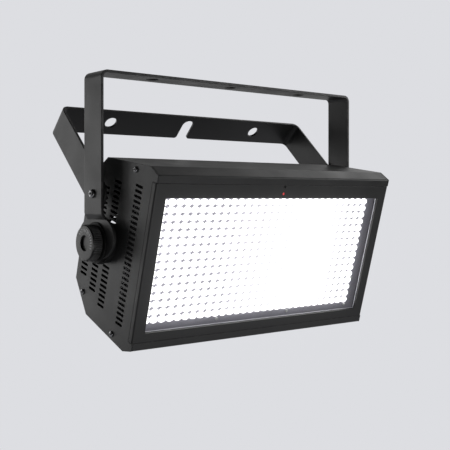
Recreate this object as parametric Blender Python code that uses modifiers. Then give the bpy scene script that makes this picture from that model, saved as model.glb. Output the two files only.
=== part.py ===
"""LED blinder light: a flat flood head between two folding yokes.

Lengths are in metres. The origin is the middle clamp hole, at the top face of the front
yoke's bar. +Z is up, the light faces -Y and the tilt axis runs along X. In the head, u is
the distance forward of the tilt axis and v the distance above it.
"""
import math

import bmesh
import bpy
from mathutils import Matrix, Vector

# Fits and sheet
gap = 0.0003
sheet = 0.0015
screw_clearance = 0.0003

# Casing
face_width = 0.3452
face_height = 0.1860
casing_front = 0.0764
casing_back = 0.0504
crown_height = 0.1976
crown_setback = 0.0149
shoulder_height = 0.1780
shoulder_back = 0.0190
back_height = 0.1140
lip_height = 0.0082
tilt_deg = 15.3

# Side panels
slot_length = 0.0106
slot_height = 0.0024
slot_pitch = 0.0055
slot_columns = ((0.0475, 28), (0.0080, 26), (-0.0135, 22), (-0.0355, 18))
panel_screw_front = 0.0373
panel_screw_rear = -0.0316
panel_screw_inset_front = 0.0065
panel_screw_inset_rear = 0.0062
panel_screw_radius = 0.0015
panel_screw_head = 0.0032
panel_screw_head_height = 0.0020
panel_screw_length = 0.0080
boss_radius = 0.0056
boss_length = 0.0100

# Front bezel and its window
bezel_plate = 0.0020
bezel_flange = 0.0069
opening_side = 0.0143
opening_top = 0.0696
opening_bottom = 0.0744
opening_corner = 0.0010
sensor_height = 0.0825
indicator_height = 0.0746
eye_radius = 0.0014
eye_flange = 0.0019
gasket_thickness = 0.0010
gasket_width = 0.0015
window_thickness = 0.0020
window_lip = 0.0024
retainer_inset = 0.0008
retainer_screw_x = 0.0042
retainer_boss_radius = 0.0030
retainer_screw_radius = 0.0012
sensor_board_width = 0.0120
board_thickness = 0.0016

# Light engine
led_columns = 30
led_rows = 16
led_size = 0.0080
led_height = 0.0030
led_recess = 0.0115
led_margin_side = 0.0046
led_margin_end = 0.0038
led_board_overhang = 0.0055
board_screw_middle = 0.0533
board_screw_end = 0.0052
board_screw_edge = 0.0008
board_screw_side = 0.0019
board_side_screws = (0.0340, -0.0380)
board_screw_radius = 0.0015
board_screw_head = 0.0021
board_screw_head_height = 0.0012
board_screw_reach = 0.0030
heatsink_base = 0.0040
fin_count = 20
fin_thickness = 0.0016
fin_height = 0.1500

# Inside
deck_half_width = 0.1580
deck_hole_radius = 0.0330
psu_width = 0.1120
psu_height = 0.0880
psu_depth = 0.0280
psu_clearance = 0.0040
terminal_size = (0.0600, 0.0100, 0.0120)
driver_board_size = (0.1200, 0.0700)
driver_parts_height = 0.0140
standoff_length = 0.0060
standoff_radius = 0.0028
fin_clearance = 0.0040
fan_size = 0.0800
fan_depth = 0.0250
fan_bore = 0.0380
fan_offset = 0.1200
fan_hub_radius = 0.0160
fan_blades = 7
fan_tip_clearance = 0.0015
fan_corner = 0.0040
blade_thickness = 0.0012
spider = 0.0030
shaft_radius = 0.0015
fan_screw_length = 0.0100
fan_screw_inset = 0.00425
fan_screw_radius = 0.0016
fan_screw_head = 0.0030
grille_radius = 0.0360
grille_slot = 0.0036
grille_pitch = 0.0072

# Rear plate and what it carries
rear_plate_width = 0.1320
rear_plate_height = 0.1030
rear_opening_margin = 0.0085
rear_screw_inset = 0.0042
rear_screw_radius = 0.0013
rear_screw_head = 0.0026
display_width = 0.0460
display_height = 0.0180
display_clearance = 0.0028
display_module_margin = 0.0022
control_board_width = 0.0840
control_board_drop = 0.0090
control_board_clearance = 0.0010
control_parts_height = 0.0070
button_radius = 0.0038
button_flange = 0.0049
button_travel = 0.0008
button_pitch = 0.0180
button_drop = 0.0110
button_proud = 0.0024
connector_rise = 0.0255
connector_pitch = 0.0300
connector_flange = (0.0260, 0.0310)
connector_corner = 0.0020
connector_flange_thickness = 0.0020
connector_barrel = 0.0118
connector_depth = 0.0225
socket_radius = 0.0095
socket_core = 0.0065
socket_depth = 0.0120
pin_circle = 0.0065
pin_radius = 0.0010
pin_length = 0.0090
latch_size = (0.0070, 0.0024)
latch_depth = 0.0023
latch_travel = 0.0012
fuse_x = 0.0500
fuse_drop = 0.0090
fuse_barrel = 0.0060
fuse_flange = 0.0080
fuse_bore = 0.0033
fuse_cap_radius = 0.0052
fuse_cap_depth = 0.0032
fuse_depth = 0.0180
eye_base = (0.0140, 0.0320)
eye_plate = 0.0020
eye_reach = 0.0180
eye_hole = 0.0050
eye_x = 0.0740

# Front yoke
yoke_width = 0.3765
yoke_drop = 0.1818
strap_width = 0.0353
strap_thickness = 0.0030
bend_radius = 0.0080
joggle = 0.0040
joggle_top = 0.0310
joggle_bottom = 0.0250
pad_half_width = 0.0360
pad_half_height = 0.0237
pad_rise = 0.0056
clamp_hole_spacing = 0.1120
clamp_hole_radius = 0.0070

# Rear yoke
fold_pivot_rise = 0.0520
rear_reach = 0.1250
rear_lean_deg = 46.0
rear_bend_radius = 0.0090
rear_hole_radius = 0.0075
slot_mouth_radius = 0.0035
rear_slot_half = 0.0080
rear_slot_depth = 0.0285
spacer_thickness = 0.0005
spacer_radius = 0.0090
pivot_radius = 0.0030
pivot_head_radius = 0.0048
pivot_head_height = 0.0030
nut_radius = 0.0058
nut_height = 0.0045

# Tilt clamp
hub_radius = 0.0220
hub_spigot = 0.0090
friction_thickness = 0.0030
friction_radius = 0.0230
stud_radius = 0.0040
stud_reach = 0.0100
knob_washer_thickness = 0.0014
knob_washer_radius = 0.0220
knob_width = 0.0122
knob_radius = 0.0194
knob_face_radius = 0.0184
knob_flutes = 30
knob_flute_depth = 0.0007
knob_chamfer = 0.0012
knob_recess_radius = 0.0080
knob_recess_depth = 0.0040

# Places that follow from the sizes
half_width = face_width / 2
panel_inner = half_width - sheet
shell_half = panel_inner - gap
front_back_face = casing_front - bezel_plate
gasket_front = front_back_face - gap
window_front = gasket_front - gasket_thickness - gap
window_back = window_front - window_thickness
retainer_front = window_back - gap
retainer_back = retainer_front - sheet
opening_half = half_width - opening_side
opening_centre = (opening_top - opening_bottom) / 2
opening_height = opening_top + opening_bottom
bezel_half_height = face_height / 2 - lip_height - gap
led_top = casing_front - led_recess
led_back = led_top - led_height
board_front = led_back
board_back = board_front - board_thickness
heatsink_front = board_back - gap
fin_root = heatsink_front - heatsink_base
back_inner = -casing_back + sheet
plate_inner = -casing_back - gap
plate_outer = plate_inner - sheet
rear_opening_half = rear_plate_height / 2 - rear_opening_margin
display_centre = rear_opening_half - display_clearance - display_module_margin - display_height / 2
button_row = display_centre - display_height / 2 - button_drop
fuse_row = display_centre - fuse_drop
connector_row = connector_rise - rear_plate_height / 2
control_board_low = button_row - control_board_drop
control_board_high = rear_opening_half - control_board_clearance
fan_back = back_inner + gap
fan_screw_pitch = fan_size - 2 * fan_screw_inset
barrel_front = plate_outer + connector_depth
psu_back = barrel_front + psu_clearance
deck_back = psu_back + psu_depth + gap
deck_front = deck_back + sheet
driver_back = deck_front + gap + standoff_length
driver_front = driver_back + board_thickness
fin_end = driver_front + driver_parts_height + fin_clearance
control_back = plate_inner + gap + standoff_length
control_front = control_back + board_thickness
yoke_half = yoke_width / 2
yoke_inner = yoke_half - strap_thickness
pad_outer = yoke_half - joggle
pad_inner = pad_outer - strap_thickness
rear_half = yoke_inner - 2 * gap - spacer_thickness
rear_inner = rear_half - strap_thickness
friction_outer = pad_inner - gap
friction_inner = friction_outer - friction_thickness
hub_outer = friction_inner - gap
washer_inner = pad_outer + gap
washer_outer = washer_inner + knob_washer_thickness
knob_inner = washer_outer + gap
knob_outer = knob_inner + knob_width
stud_hole = stud_radius + gap
tilt_axis = -yoke_drop
fold_axis = tilt_axis + fold_pivot_rise

for old in list(bpy.data.objects):
    bpy.data.objects.remove(old, do_unlink=True)

parts = bpy.data.collections.new("led_blinder_light")
cutters = bpy.data.collections.new("cutters")
bpy.context.scene.collection.children.link(parts)
bpy.context.scene.collection.children.link(cutters)

along_x = Matrix(((0, 0, 1), (1, 0, 0), (0, 1, 0))).to_4x4()
along_y = Matrix(((1, 0, 0), (0, 0, -1), (0, 1, 0))).to_4x4()


def paint(name, colour, roughness, metallic=0.0):
    material = bpy.data.materials.new(name)
    material.use_nodes = True
    shader = material.node_tree.nodes["Principled BSDF"]
    shader.inputs["Base Color"].default_value = (*colour, 1.0)
    shader.inputs["Roughness"].default_value = roughness
    shader.inputs["Metallic"].default_value = metallic
    return material


black_paint = paint("black_powder_coat", (0.030, 0.030, 0.032), 0.50)
black_plastic = paint("black_plastic", (0.016, 0.016, 0.017), 0.55)
black_rubber = paint("black_rubber", (0.012, 0.012, 0.012), 0.85)
zinc_steel = paint("zinc_plated_steel", (0.55, 0.56, 0.57), 0.30, 1.0)
raw_aluminium = paint("aluminium", (0.62, 0.63, 0.64), 0.38, 1.0)
clear_glass = paint("clear_glass", (0.90, 0.92, 0.95), 0.05)
board_black = paint("black_circuit_board", (0.020, 0.020, 0.026), 0.45)
board_green = paint("green_circuit_board", (0.02, 0.16, 0.07), 0.45)
led_white = paint("led_phosphor", (0.95, 0.95, 0.92), 0.35)
red_lens = paint("red_lens", (0.60, 0.03, 0.03), 0.20)
dark_lens = paint("dark_lens", (0.02, 0.01, 0.02), 0.15)
grey_plastic = paint("grey_plastic", (0.35, 0.36, 0.38), 0.50)


def empty(name, location, turn=0.0, parent=None):
    node = bpy.data.objects.new(name, None)
    node.location = location
    node.rotation_euler = (turn, 0.0, 0.0)
    node.parent = parent
    parts.objects.link(node)
    return node


tilt_frame = empty("tilt_frame", (0, 0, tilt_axis), math.radians(tilt_deg))
fold_frame = empty("fold_frame", (0, 0, fold_axis), -math.radians(rear_lean_deg))


def add(name, mesh, material=None, parent=None, origin=(0.0, 0.0, 0.0), cutter=False):
    """Make an object of a mesh, in the parts, or in the cutters as a wire guide."""
    mesh.transform(Matrix.Translation(-Vector(origin)))
    node = bpy.data.objects.new(name, mesh)
    node.location = origin
    node.parent = parent
    if cutter:
        cutters.objects.link(node)
        node.hide_render = True
        node.display_type = "WIRE"
    else:
        parts.objects.link(node)
        mesh.materials.append(material)
        mesh.shade_smooth()
        mesh.set_sharp_from_angle(angle=math.radians(30))
    return node


def mesh_of(form, name="shape"):
    mesh = bpy.data.meshes.new(name)
    form.to_mesh(mesh)
    form.free()
    return mesh


def block(low, high):
    """A box between two corners."""
    low = Vector(low)
    high = Vector(high)
    form = bmesh.new()
    size = high - low
    place = Matrix.Translation((low + high) / 2) @ Matrix.Diagonal((*size, 1))
    bmesh.ops.create_cube(form, size=1.0, matrix=place)
    return mesh_of(form)


def rod(radius, start, end, axis, sides=16):
    """A round bar along X, Y or Z. start and end are its end points."""
    start = Vector(start)
    end = Vector(end)
    length = (end - start).length
    turn = {"X": Matrix.Rotation(math.pi / 2, 4, "Y"),
            "Y": Matrix.Rotation(math.pi / 2, 4, "X"),
            "Z": Matrix.Identity(4)}[axis]
    form = bmesh.new()
    bmesh.ops.create_cone(form, cap_ends=True, segments=sides, radius1=radius, radius2=radius,
                          depth=length, matrix=Matrix.Translation((start + end) / 2) @ turn)
    return mesh_of(form)


def rod_u(radius, x, v, u_low, u_high, sides=16):
    """A round bar in the head that runs front to back."""
    return rod(radius, (x, -u_low, v), (x, -u_high, v), "Y", sides)


def block_u(x_range, u_range, v_range):
    """A box in the head, from its ranges of x, u and v."""
    return block((x_range[0], -u_range[1], v_range[0]), (x_range[1], -u_range[0], v_range[1]))


def joined(meshes):
    """Several meshes as one. They stay separate bodies."""
    form = bmesh.new()
    for mesh in meshes:
        form.from_mesh(mesh)
        bpy.data.meshes.remove(mesh)
    return mesh_of(form)


def flat(loops, low, high, turn):
    """A flat outline with its holes, as thick as low to high along its normal."""
    curve = bpy.data.curves.new("outline", "CURVE")
    curve.dimensions = "2D"
    curve.fill_mode = "BOTH"
    curve.extrude = (high - low) / 2
    for loop in loops:
        spline = curve.splines.new("POLY")
        spline.points.add(len(loop) - 1)
        spline.use_cyclic_u = True
        for point, (across, up) in zip(spline.points, loop):
            point.co = (across, up, 0.0, 1.0)
    node = bpy.data.objects.new("outline", curve)
    bpy.context.scene.collection.objects.link(node)
    graph = bpy.context.evaluated_depsgraph_get()
    mesh = bpy.data.meshes.new_from_object(node.evaluated_get(graph))
    bpy.data.objects.remove(node, do_unlink=True)
    bpy.data.curves.remove(curve)
    form = bmesh.new()
    form.from_mesh(mesh)
    bpy.data.meshes.remove(mesh)
    bmesh.ops.remove_doubles(form, verts=form.verts, dist=1e-6)
    bmesh.ops.recalc_face_normals(form, faces=form.faces)
    form.transform(turn @ Matrix.Translation((0, 0, (low + high) / 2)))
    return mesh_of(form)


def side_plate(loops, x_low, x_high):
    """A plate across the head. Its outline is given in u and v."""
    turned = [[(-u, v) for u, v in loop] for loop in loops]
    return flat(turned, x_low, x_high, along_x)


def front_plate(loops, u_low, u_high):
    """A plate that faces forward. Its outline is given in x and v."""
    return flat(loops, u_low, u_high, along_y)


def rectangle(width, height, centre=(0.0, 0.0)):
    x, y = centre
    return [(x - width / 2, y - height / 2), (x + width / 2, y - height / 2),
            (x + width / 2, y + height / 2), (x - width / 2, y + height / 2)]


def rounded(width, height, corner, centre=(0.0, 0.0), steps=2):
    """A rectangle with round corners."""
    loop = []
    for quarter, (sx, sy) in enumerate(((1, 1), (-1, 1), (-1, -1), (1, -1))):
        middle = (centre[0] + sx * (width / 2 - corner), centre[1] + sy * (height / 2 - corner))
        for step in range(steps + 1):
            angle = math.radians(90) * (quarter + step / steps)
            loop.append((middle[0] + corner * math.cos(angle), middle[1] + corner * math.sin(angle)))
    return loop


def circle(radius, centre=(0.0, 0.0), sides=16):
    return [(centre[0] + radius * math.cos(math.tau * i / sides),
             centre[1] + radius * math.sin(math.tau * i / sides)) for i in range(sides)]


def turned(profile, sides, matrix):
    """A ring or shaft: a closed profile of radius and height, turned about Z, then placed.

    The profile runs down its outer side. The Screw modifier is read into a plain mesh.
    """
    form = bmesh.new()
    points = [form.verts.new((radius, 0.0, height)) for radius, height in profile]
    for first, second in zip(points, points[1:]):
        form.edges.new((first, second))
    if profile[0][0] > 0.0:
        form.edges.new((points[-1], points[0]))
    node = bpy.data.objects.new("profile", mesh_of(form))
    bpy.context.scene.collection.objects.link(node)
    screw = node.modifiers.new("turn", "SCREW")
    screw.axis = "Z"
    screw.steps = sides
    screw.render_steps = sides
    screw.use_merge_vertices = True
    screw.merge_threshold = 0.00001
    graph = bpy.context.evaluated_depsgraph_get()
    mesh = bpy.data.meshes.new_from_object(node.evaluated_get(graph))
    bpy.data.objects.remove(node, do_unlink=True)
    mesh.transform(matrix)
    return mesh


def bore_ring(outer, inner, low, high):
    """The profile of a washer or bush."""
    return [(outer, high), (outer, low), (inner, low), (inner, high)]


def combine(node, mesh, operation, parent=None):
    """Cut, join or intersect a part with a mesh kept among the cutters."""
    tool = add(f"{node.name}_{operation.lower()}", mesh, parent=parent, cutter=True)
    step = node.modifiers.new(operation.lower(), "BOOLEAN")
    step.operation = operation
    step.object = tool
    step.solver = "EXACT"
    return node


def wall_height(u):
    """Half the height inside the casing at u, less a gap, behind the front crease."""
    crease = casing_front - crown_setback
    slope = (crown_height - shoulder_height) / 2 / (crease + shoulder_back)
    outer = crown_height / 2 - slope * (crease - u)
    return outer - sheet * math.hypot(1.0, slope) - gap


def casing_side(sign):
    """The casing's outline from its front lip to its back, above or below the axis."""
    return [(casing_front, sign * face_height / 2),
            (casing_front - crown_setback, sign * crown_height / 2),
            (-shoulder_back, sign * shoulder_height / 2),
            (-casing_back, sign * back_height / 2)]


def screw_height(u, distance):
    """The height at u of a point that lies a distance in from the casing's outer face."""
    corners = casing_side(1)[1:]
    front, back = corners[:2] if u > -shoulder_back else corners[1:]
    slope = (front[1] - back[1]) / (front[0] - back[0])
    return back[1] + slope * (u - back[0]) - distance * math.hypot(1.0, slope)


def inset(path, distance):
    """An open path moved sideways by a distance, to the left of its run."""
    moved = []
    for index, point in enumerate(path):
        before = path[max(index - 1, 0)]
        after = path[min(index + 1, len(path) - 1)]
        normals = []
        for start, end in ((before, point), (point, after)):
            run = Vector(end) - Vector(start)
            if run.length > 1e-9:
                normals.append(Vector((-run.y, run.x)).normalized())
        total = sum(normals, Vector((0.0, 0.0)))
        bisector = total.normalized()
        scale = distance / bisector.dot(normals[0])
        moved.append((point[0] + bisector.x * scale, point[1] + bisector.y * scale))
    return moved


# Housing shell: one folded sheet, open at the front, with bosses for the side panels
shell_path = [(casing_front, face_height / 2 - lip_height)]
shell_path += casing_side(1)
shell_path += casing_side(-1)[::-1]
shell_path += [(casing_front, lip_height - face_height / 2)]
shell_loop = shell_path + inset(shell_path, sheet)[::-1]
housing_shell = add("housing_shell", side_plate([shell_loop], -shell_half, shell_half),
                    black_paint, tilt_frame)

panel_screw_places = [(u, sign * screw_height(u, distance)) for u, distance in (
    (panel_screw_front, panel_screw_inset_front), (panel_screw_rear, panel_screw_inset_rear))
    for sign in (1, -1)]
bosses = []
boss_bores = []
for side in (-1, 1):
    for u, v in panel_screw_places:
        outer_end = (side * shell_half, -u, v)
        bosses.append(rod(boss_radius, (side * (shell_half - boss_length), -u, v), outer_end, "X", 12))
        boss_bores.append(rod(panel_screw_radius + screw_clearance,
                              (side * (panel_inner - panel_screw_length), -u, v),
                              (side * half_width, -u, v), "X", 8))
combine(housing_shell, joined(bosses), "UNION", tilt_frame)

rear_opening = (rear_plate_width - 2 * rear_opening_margin, 2 * rear_opening_half)
wall_range = (-casing_back - sheet, back_inner + sheet)
openings = boss_bores
openings.append(block_u((-rear_opening[0] / 2, rear_opening[0] / 2), wall_range,
                        (-rear_opening[1] / 2, rear_opening[1] / 2)))
grille_count = int(grille_radius / grille_pitch)
for side in (-1, 1):
    for row in range(-grille_count, grille_count + 1):
        chord = math.sqrt(max(grille_radius ** 2 - (row * grille_pitch) ** 2, 0.0)) - grille_slot / 2
        if chord > grille_slot:
            centre = side * fan_offset
            openings.append(block_u((centre - chord, centre + chord), wall_range,
                                    (row * grille_pitch - grille_slot / 2,
                                     row * grille_pitch + grille_slot / 2)))
fan_screw_places = [(side * fan_offset + sx * fan_screw_pitch / 2, sz * fan_screw_pitch / 2)
                    for side in (-1, 1) for sx in (-1, 1) for sz in (-1, 1)]
for x, v in fan_screw_places:
    openings.append(rod_u(fan_screw_radius + screw_clearance, x, v, *wall_range, 8))
rear_screw_places = [(sx * (rear_plate_width / 2 - rear_screw_inset),
                      sz * (rear_plate_height / 2 - rear_screw_inset))
                     for sx in (-1, 1) for sz in (-1, 1)]
for x, v in rear_screw_places:
    openings.append(rod_u(rear_screw_radius + screw_clearance, x, v, *wall_range, 8))
eye_screw_places = [(eye_x, sz * (eye_base[1] / 2 - rear_screw_inset)) for sz in (-1, 1)]
for x, v in eye_screw_places:
    openings.append(rod_u(rear_screw_radius + screw_clearance, x, v, *wall_range, 8))
combine(housing_shell, joined(openings), "DIFFERENCE", tilt_frame)


# Side panels, with the slots that are clear of the hub
def panel_loops():
    flange_back = casing_front - bezel_flange - gap
    lip = face_height / 2 - lip_height
    outline = [(flange_back, lip), (casing_front, lip)]
    outline += casing_side(1)
    outline += casing_side(-1)[::-1]
    outline += [(casing_front, -lip), (flange_back, -lip)]
    loops = [outline]
    for u, count in slot_columns:
        for index in range(count):
            v = (index - (count - 1) / 2) * slot_pitch
            near_u = max(abs(u) - slot_length / 2, 0.0)
            if math.hypot(near_u, v) > hub_radius + slot_height:
                loops.append(rectangle(slot_length, slot_height, (u, v)))
    for place in panel_screw_places:
        loops.append(circle(panel_screw_radius + screw_clearance, place, 8))
    loops.append(circle(hub_spigot + gap, sides=20))
    return loops


for side, label in ((-1, "left"), (1, "right")):
    low, high = sorted((side * panel_inner, side * half_width))
    add(f"side_panel_{label}", side_plate(panel_loops(), low, high), black_paint, tilt_frame)


def pan_screw(radius, length, head_radius, head_height, sides=8):
    """A screw about Z with the underside of its head at zero and its shank going down."""
    return turned([(0.0, head_height), (head_radius * 0.62, head_height),
                   (head_radius, head_height * 0.45), (head_radius, 0.0), (radius, 0.0),
                   (radius, -length), (0.0, -length)], sides, Matrix.Identity(4))


def out_of(point, direction):
    """Place a Z-up fastener so that it points out of a face."""
    turn = Vector((0, 0, 1)).rotation_difference(Vector(direction)).to_matrix().to_4x4()
    return Matrix.Translation(point) @ turn


for side, label in ((-1, "left"), (1, "right")):
    for (u, v), place in zip(panel_screw_places, ("front_top", "front_low", "rear_top", "rear_low")):
        screw = pan_screw(panel_screw_radius, panel_screw_length, panel_screw_head,
                          panel_screw_head_height)
        seat = (side * (half_width + gap), -u, v)
        screw.transform(out_of(seat, (side, 0, 0)))
        add(f"panel_screw_{label}_{place}", screw, zinc_steel, tilt_frame, seat)

# Front bezel: a plate with the long opening, and a flange along each side
retainer_screw_places = [(sx * (opening_half + window_lip + retainer_screw_x), v)
                         for sx in (-1, 1) for v in (-opening_height / 3, 0.0, opening_height / 3)]
bezel_loops = [rectangle(face_width, 2 * bezel_half_height),
               rounded(2 * opening_half, opening_height, opening_corner, (0, opening_centre)),
               circle(eye_radius + gap, (0, sensor_height), 12),
               circle(eye_radius + gap, (0, indicator_height), 12)]
front_bezel = add("front_bezel", front_plate(bezel_loops, front_back_face, casing_front),
                  black_paint, tilt_frame)
bezel_extra = []
weld = bezel_plate / 2
for side in (-1, 1):
    x_range = sorted((side * panel_inner, side * half_width))
    bezel_extra.append(block_u(x_range, (casing_front - bezel_flange, casing_front - weld),
                               (-bezel_half_height, bezel_half_height)))
for x, v in retainer_screw_places:
    bezel_extra.append(rod_u(retainer_boss_radius, x, v, retainer_front + gap, casing_front - weld, 8))
combine(front_bezel, joined(bezel_extra), "UNION", tilt_frame)
combine(front_bezel, joined([rod_u(retainer_screw_radius + gap, x, v, 0.0, casing_front - weld, 8)
                             for x, v in retainer_screw_places]), "DIFFERENCE", tilt_frame)

window_size = (2 * (opening_half + window_lip), opening_height + 2 * window_lip)
centre = (0, opening_centre)
gasket_hole = (window_size[0] - 2 * gasket_width, window_size[1] - 2 * gasket_width)
add("window_gasket", front_plate([rectangle(*window_size, centre), rectangle(*gasket_hole, centre)],
                                 gasket_front - gasket_thickness, gasket_front),
    black_rubber, tilt_frame)
add("window", front_plate([rectangle(*window_size, centre)], window_back, window_front),
    clear_glass, tilt_frame)
retainer_width = 2 * (panel_inner - gap)
retainer_hole = (2 * (opening_half + retainer_inset), opening_height + 2 * retainer_inset)
retainer_loops = [rectangle(retainer_width, 2 * bezel_half_height), rectangle(*retainer_hole, centre)]
window_retainer = add("window_retainer", front_plate(retainer_loops, retainer_back, retainer_front),
                      black_paint, tilt_frame)
screws = []
for x, v in retainer_screw_places:
    screw = pan_screw(retainer_screw_radius, window_thickness + sheet, 2 * retainer_screw_radius,
                      retainer_screw_radius, 8)
    screw.transform(out_of((x, -(retainer_back - gap), v), (0, 1, 0)))
    screws.append(screw)
combine(window_retainer, joined(screws), "UNION", tilt_frame)

# Infrared sensor window and red indicator: stepped plugs behind the bezel plate
eye_back = window_front - gap


def eye_plug(name, height, material):
    profile = [(0.0, casing_front), (eye_radius, casing_front), (eye_radius, gasket_front),
               (eye_flange, gasket_front), (eye_flange, eye_back), (0.0, eye_back)]
    stand = Matrix.Translation((0, 0, height)) @ Matrix.Rotation(math.pi / 2, 4, "X")
    add(name, turned(profile, 12, stand), material, tilt_frame)


eye_plug("ir_sensor_window", sensor_height, dark_lens)
eye_plug("indicator_lens", indicator_height, red_lens)
sensor_low = opening_top + window_lip + gap
add("sensor_board", block_u((-sensor_board_width / 2, sensor_board_width / 2),
                            (retainer_front + gap, eye_back - gap),
                            (sensor_low, bezel_half_height)), board_green, tilt_frame)

# LED board, with its rows of emitters and its screws
board_half = opening_half + led_board_overhang
board_low = -opening_bottom - led_board_overhang
board_high = opening_top + led_board_overhang
board_screw_places = []
for sx in (-1, 1):
    for x in (board_screw_middle, opening_half - board_screw_end):
        board_screw_places.append((sx * x, board_screw_edge - opening_bottom))
        board_screw_places.append((sx * x, opening_top - board_screw_edge))
    for v in board_side_screws:
        board_screw_places.append((sx * (opening_half - board_screw_side), v))
board_loops = [rectangle(2 * board_half, board_high - board_low, (0, (board_high + board_low) / 2))]
led_board = add("led_board", front_plate(board_loops, board_back, board_front), led_white, tilt_frame)
led_half_x = opening_half - led_margin_side
led_span_z = opening_height - 2 * led_margin_end - led_size
led_rows_raised = []
for row in range(led_rows):
    v = opening_centre + (row / (led_rows - 1) - 0.5) * led_span_z
    led_rows_raised.append(block_u((-led_half_x, led_half_x), (board_front - board_thickness / 2, led_top),
                                   (v - led_size / 2, v + led_size / 2)))
combine(led_board, joined(led_rows_raised), "UNION", tilt_frame)
screws = []
for x, v in board_screw_places:
    screw = pan_screw(board_screw_radius, board_thickness + gap + board_screw_reach,
                      board_screw_head, board_screw_head_height, 6)
    screw.transform(out_of((x, -(board_front + gap), v), (0, -1, 0)))
    screws.append(screw)
combine(led_board, joined(screws), "UNION", tilt_frame)

# Heatsink: a comb along X, on a base plate held between the casing's top and bottom
sink_half = board_half
base_high = wall_height(fin_root)
heatsink = add("heatsink", front_plate([rectangle(2 * sink_half, 2 * base_high)],
                                       fin_root, heatsink_front), raw_aluminium, tilt_frame)
fin_pitch = (2 * sink_half - fin_thickness) / (fin_count - 1)
fins = []
for index in range(fin_count):
    x = -sink_half + fin_thickness / 2 + index * fin_pitch
    fins.append(block_u((x - fin_thickness / 2, x + fin_thickness / 2),
                        (fin_end, fin_root + heatsink_base / 2), (-fin_height / 2, fin_height / 2)))
combine(heatsink, joined(fins), "UNION", tilt_frame)
combine(heatsink, joined([rod_u(board_screw_radius + gap, x, v, fin_root - sheet,
                                heatsink_front + sheet, 6)
                          for x, v in board_screw_places]), "DIFFERENCE", tilt_frame)

# Chassis deck between the light engine and the power supply
deck_high = wall_height(deck_back)
deck_loops = [rectangle(2 * deck_half_width, 2 * deck_high)]
for side in (-1, 1):
    deck_loops.append(circle(deck_hole_radius, (side * fan_offset, 0), 16))
add("deck_plate", front_plate(deck_loops, deck_back, deck_front), raw_aluminium, tilt_frame)
supply = add("power_supply", block_u((-psu_width / 2, psu_width / 2), (psu_back, psu_back + psu_depth),
                                     (-psu_height / 2, psu_height / 2)), zinc_steel, tilt_frame)
bevel = supply.modifiers.new("edges", "BEVEL")
bevel.width = sheet
bevel.segments = 1
terminal_width, terminal_height, terminal_depth = terminal_size
terminal_front = deck_back - 2 * gap
combine(supply, block_u((-terminal_width / 2, terminal_width / 2),
                        (terminal_front - terminal_depth, terminal_front),
                        (psu_height / 2 - 2 * sheet, psu_height / 2 + terminal_height)),
        "UNION", tilt_frame)

driver_width, driver_height = driver_board_size
standoff_places = [(sx * (driver_width / 2 - 2 * standoff_radius),
                    sz * (driver_height / 2 - 2 * standoff_radius))
                   for sx in (-1, 1) for sz in (-1, 1)]
driver_board = add("driver_board", front_plate([rectangle(driver_width, driver_height)],
                                               driver_back, driver_front), board_green, tilt_frame)
part_low = driver_front - board_thickness / 2
part_high = driver_front + driver_parts_height
driver_parts = [rod_u(standoff_radius, x, v, deck_front + gap, driver_back + board_thickness / 2, 8)
                for x, v in standoff_places]
for index in range(4):
    x = (index - 1.5) * driver_width / 5
    driver_parts.append(rod_u(driver_parts_height / 2, x, driver_height / 4, part_low, part_high, 8))
for index in range(3):
    x = (index - 1) * driver_width / 4
    half = driver_parts_height / 2
    driver_parts.append(block_u((x - half, x + half), (part_low, driver_front + half),
                                (-driver_height / 4 - half, -driver_height / 4 + half)))
combine(driver_board, joined(driver_parts), "UNION", tilt_frame)

# Rear plate
button_places = [((index - 1.5) * button_pitch, button_row) for index in range(4)]
connector_places = [((index - 1.5) * connector_pitch, connector_row) for index in range(4)]
plate_loops = [rectangle(rear_plate_width, rear_plate_height),
               rectangle(display_width, display_height, (0, display_centre)),
               circle(fuse_barrel + gap, (fuse_x, fuse_row))]
plate_loops += [circle(button_radius + gap, place) for place in button_places]
plate_loops += [circle(connector_barrel + gap, place, 24) for place in connector_places]
rear_plate = add("rear_plate", front_plate(plate_loops, plate_outer, plate_inner),
                 black_paint, tilt_frame)


def rear_screw(x, v, face, radius, head, reach):
    screw = pan_screw(radius, reach, head, radius * 1.2)
    screw.transform(out_of((x, -(face - gap), v), (0, 1, 0)))
    return screw


rear_screws = [rear_screw(x, v, plate_outer, rear_screw_radius, rear_screw_head, 3 * sheet)
               for x, v in rear_screw_places]
combine(rear_plate, joined(rear_screws), "UNION", tilt_frame)

# Display, buttons and the control board behind them
module_size = (display_width + 2 * display_module_margin, display_height + 2 * display_module_margin)
add("display_module", front_plate([rectangle(*module_size, (0, display_centre))],
                                  plate_inner + gap, control_back - gap), black_plastic, tilt_frame)
add("display_lens", front_plate([rectangle(display_width - 2 * gap, display_height - 2 * gap,
                                           (0, display_centre))], plate_outer, plate_inner),
    dark_lens, tilt_frame)
control_middle = (control_board_low + control_board_high) / 2
control_size = (control_board_width, control_board_high - control_board_low)
control_board = add("control_board", front_plate([rectangle(*control_size, (0, control_middle))],
                                                 control_back, control_front),
                    board_green, tilt_frame)
corner = 1.5 * standoff_radius
control_standoffs = [(sx * (control_board_width / 2 - corner), v) for sx in (-1, 1)
                     for v in (control_board_low + corner, control_board_high - corner)]
board_core = control_back + board_thickness / 2
control_parts = [rod_u(standoff_radius, x, v, plate_inner + gap, board_core, 8)
                 for x, v in control_standoffs]
button_inner = plate_inner + gap
button_end = button_inner + sheet
switch_top = button_end + button_travel + gap
control_parts += [block_u((x - button_radius, x + button_radius), (switch_top, board_core),
                          (v - button_radius, v + button_radius)) for x, v in button_places]
half = control_parts_height / 2
for index in range(3):
    x = (index - 1) * control_board_width / 4
    control_parts.append(block_u((x - half, x + half), (board_core, control_front + half),
                                 (control_middle - half, control_middle + half)))
combine(control_board, joined(control_parts), "UNION", tilt_frame)
facing_back = Matrix.Rotation(-math.pi / 2, 4, "X")
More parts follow.
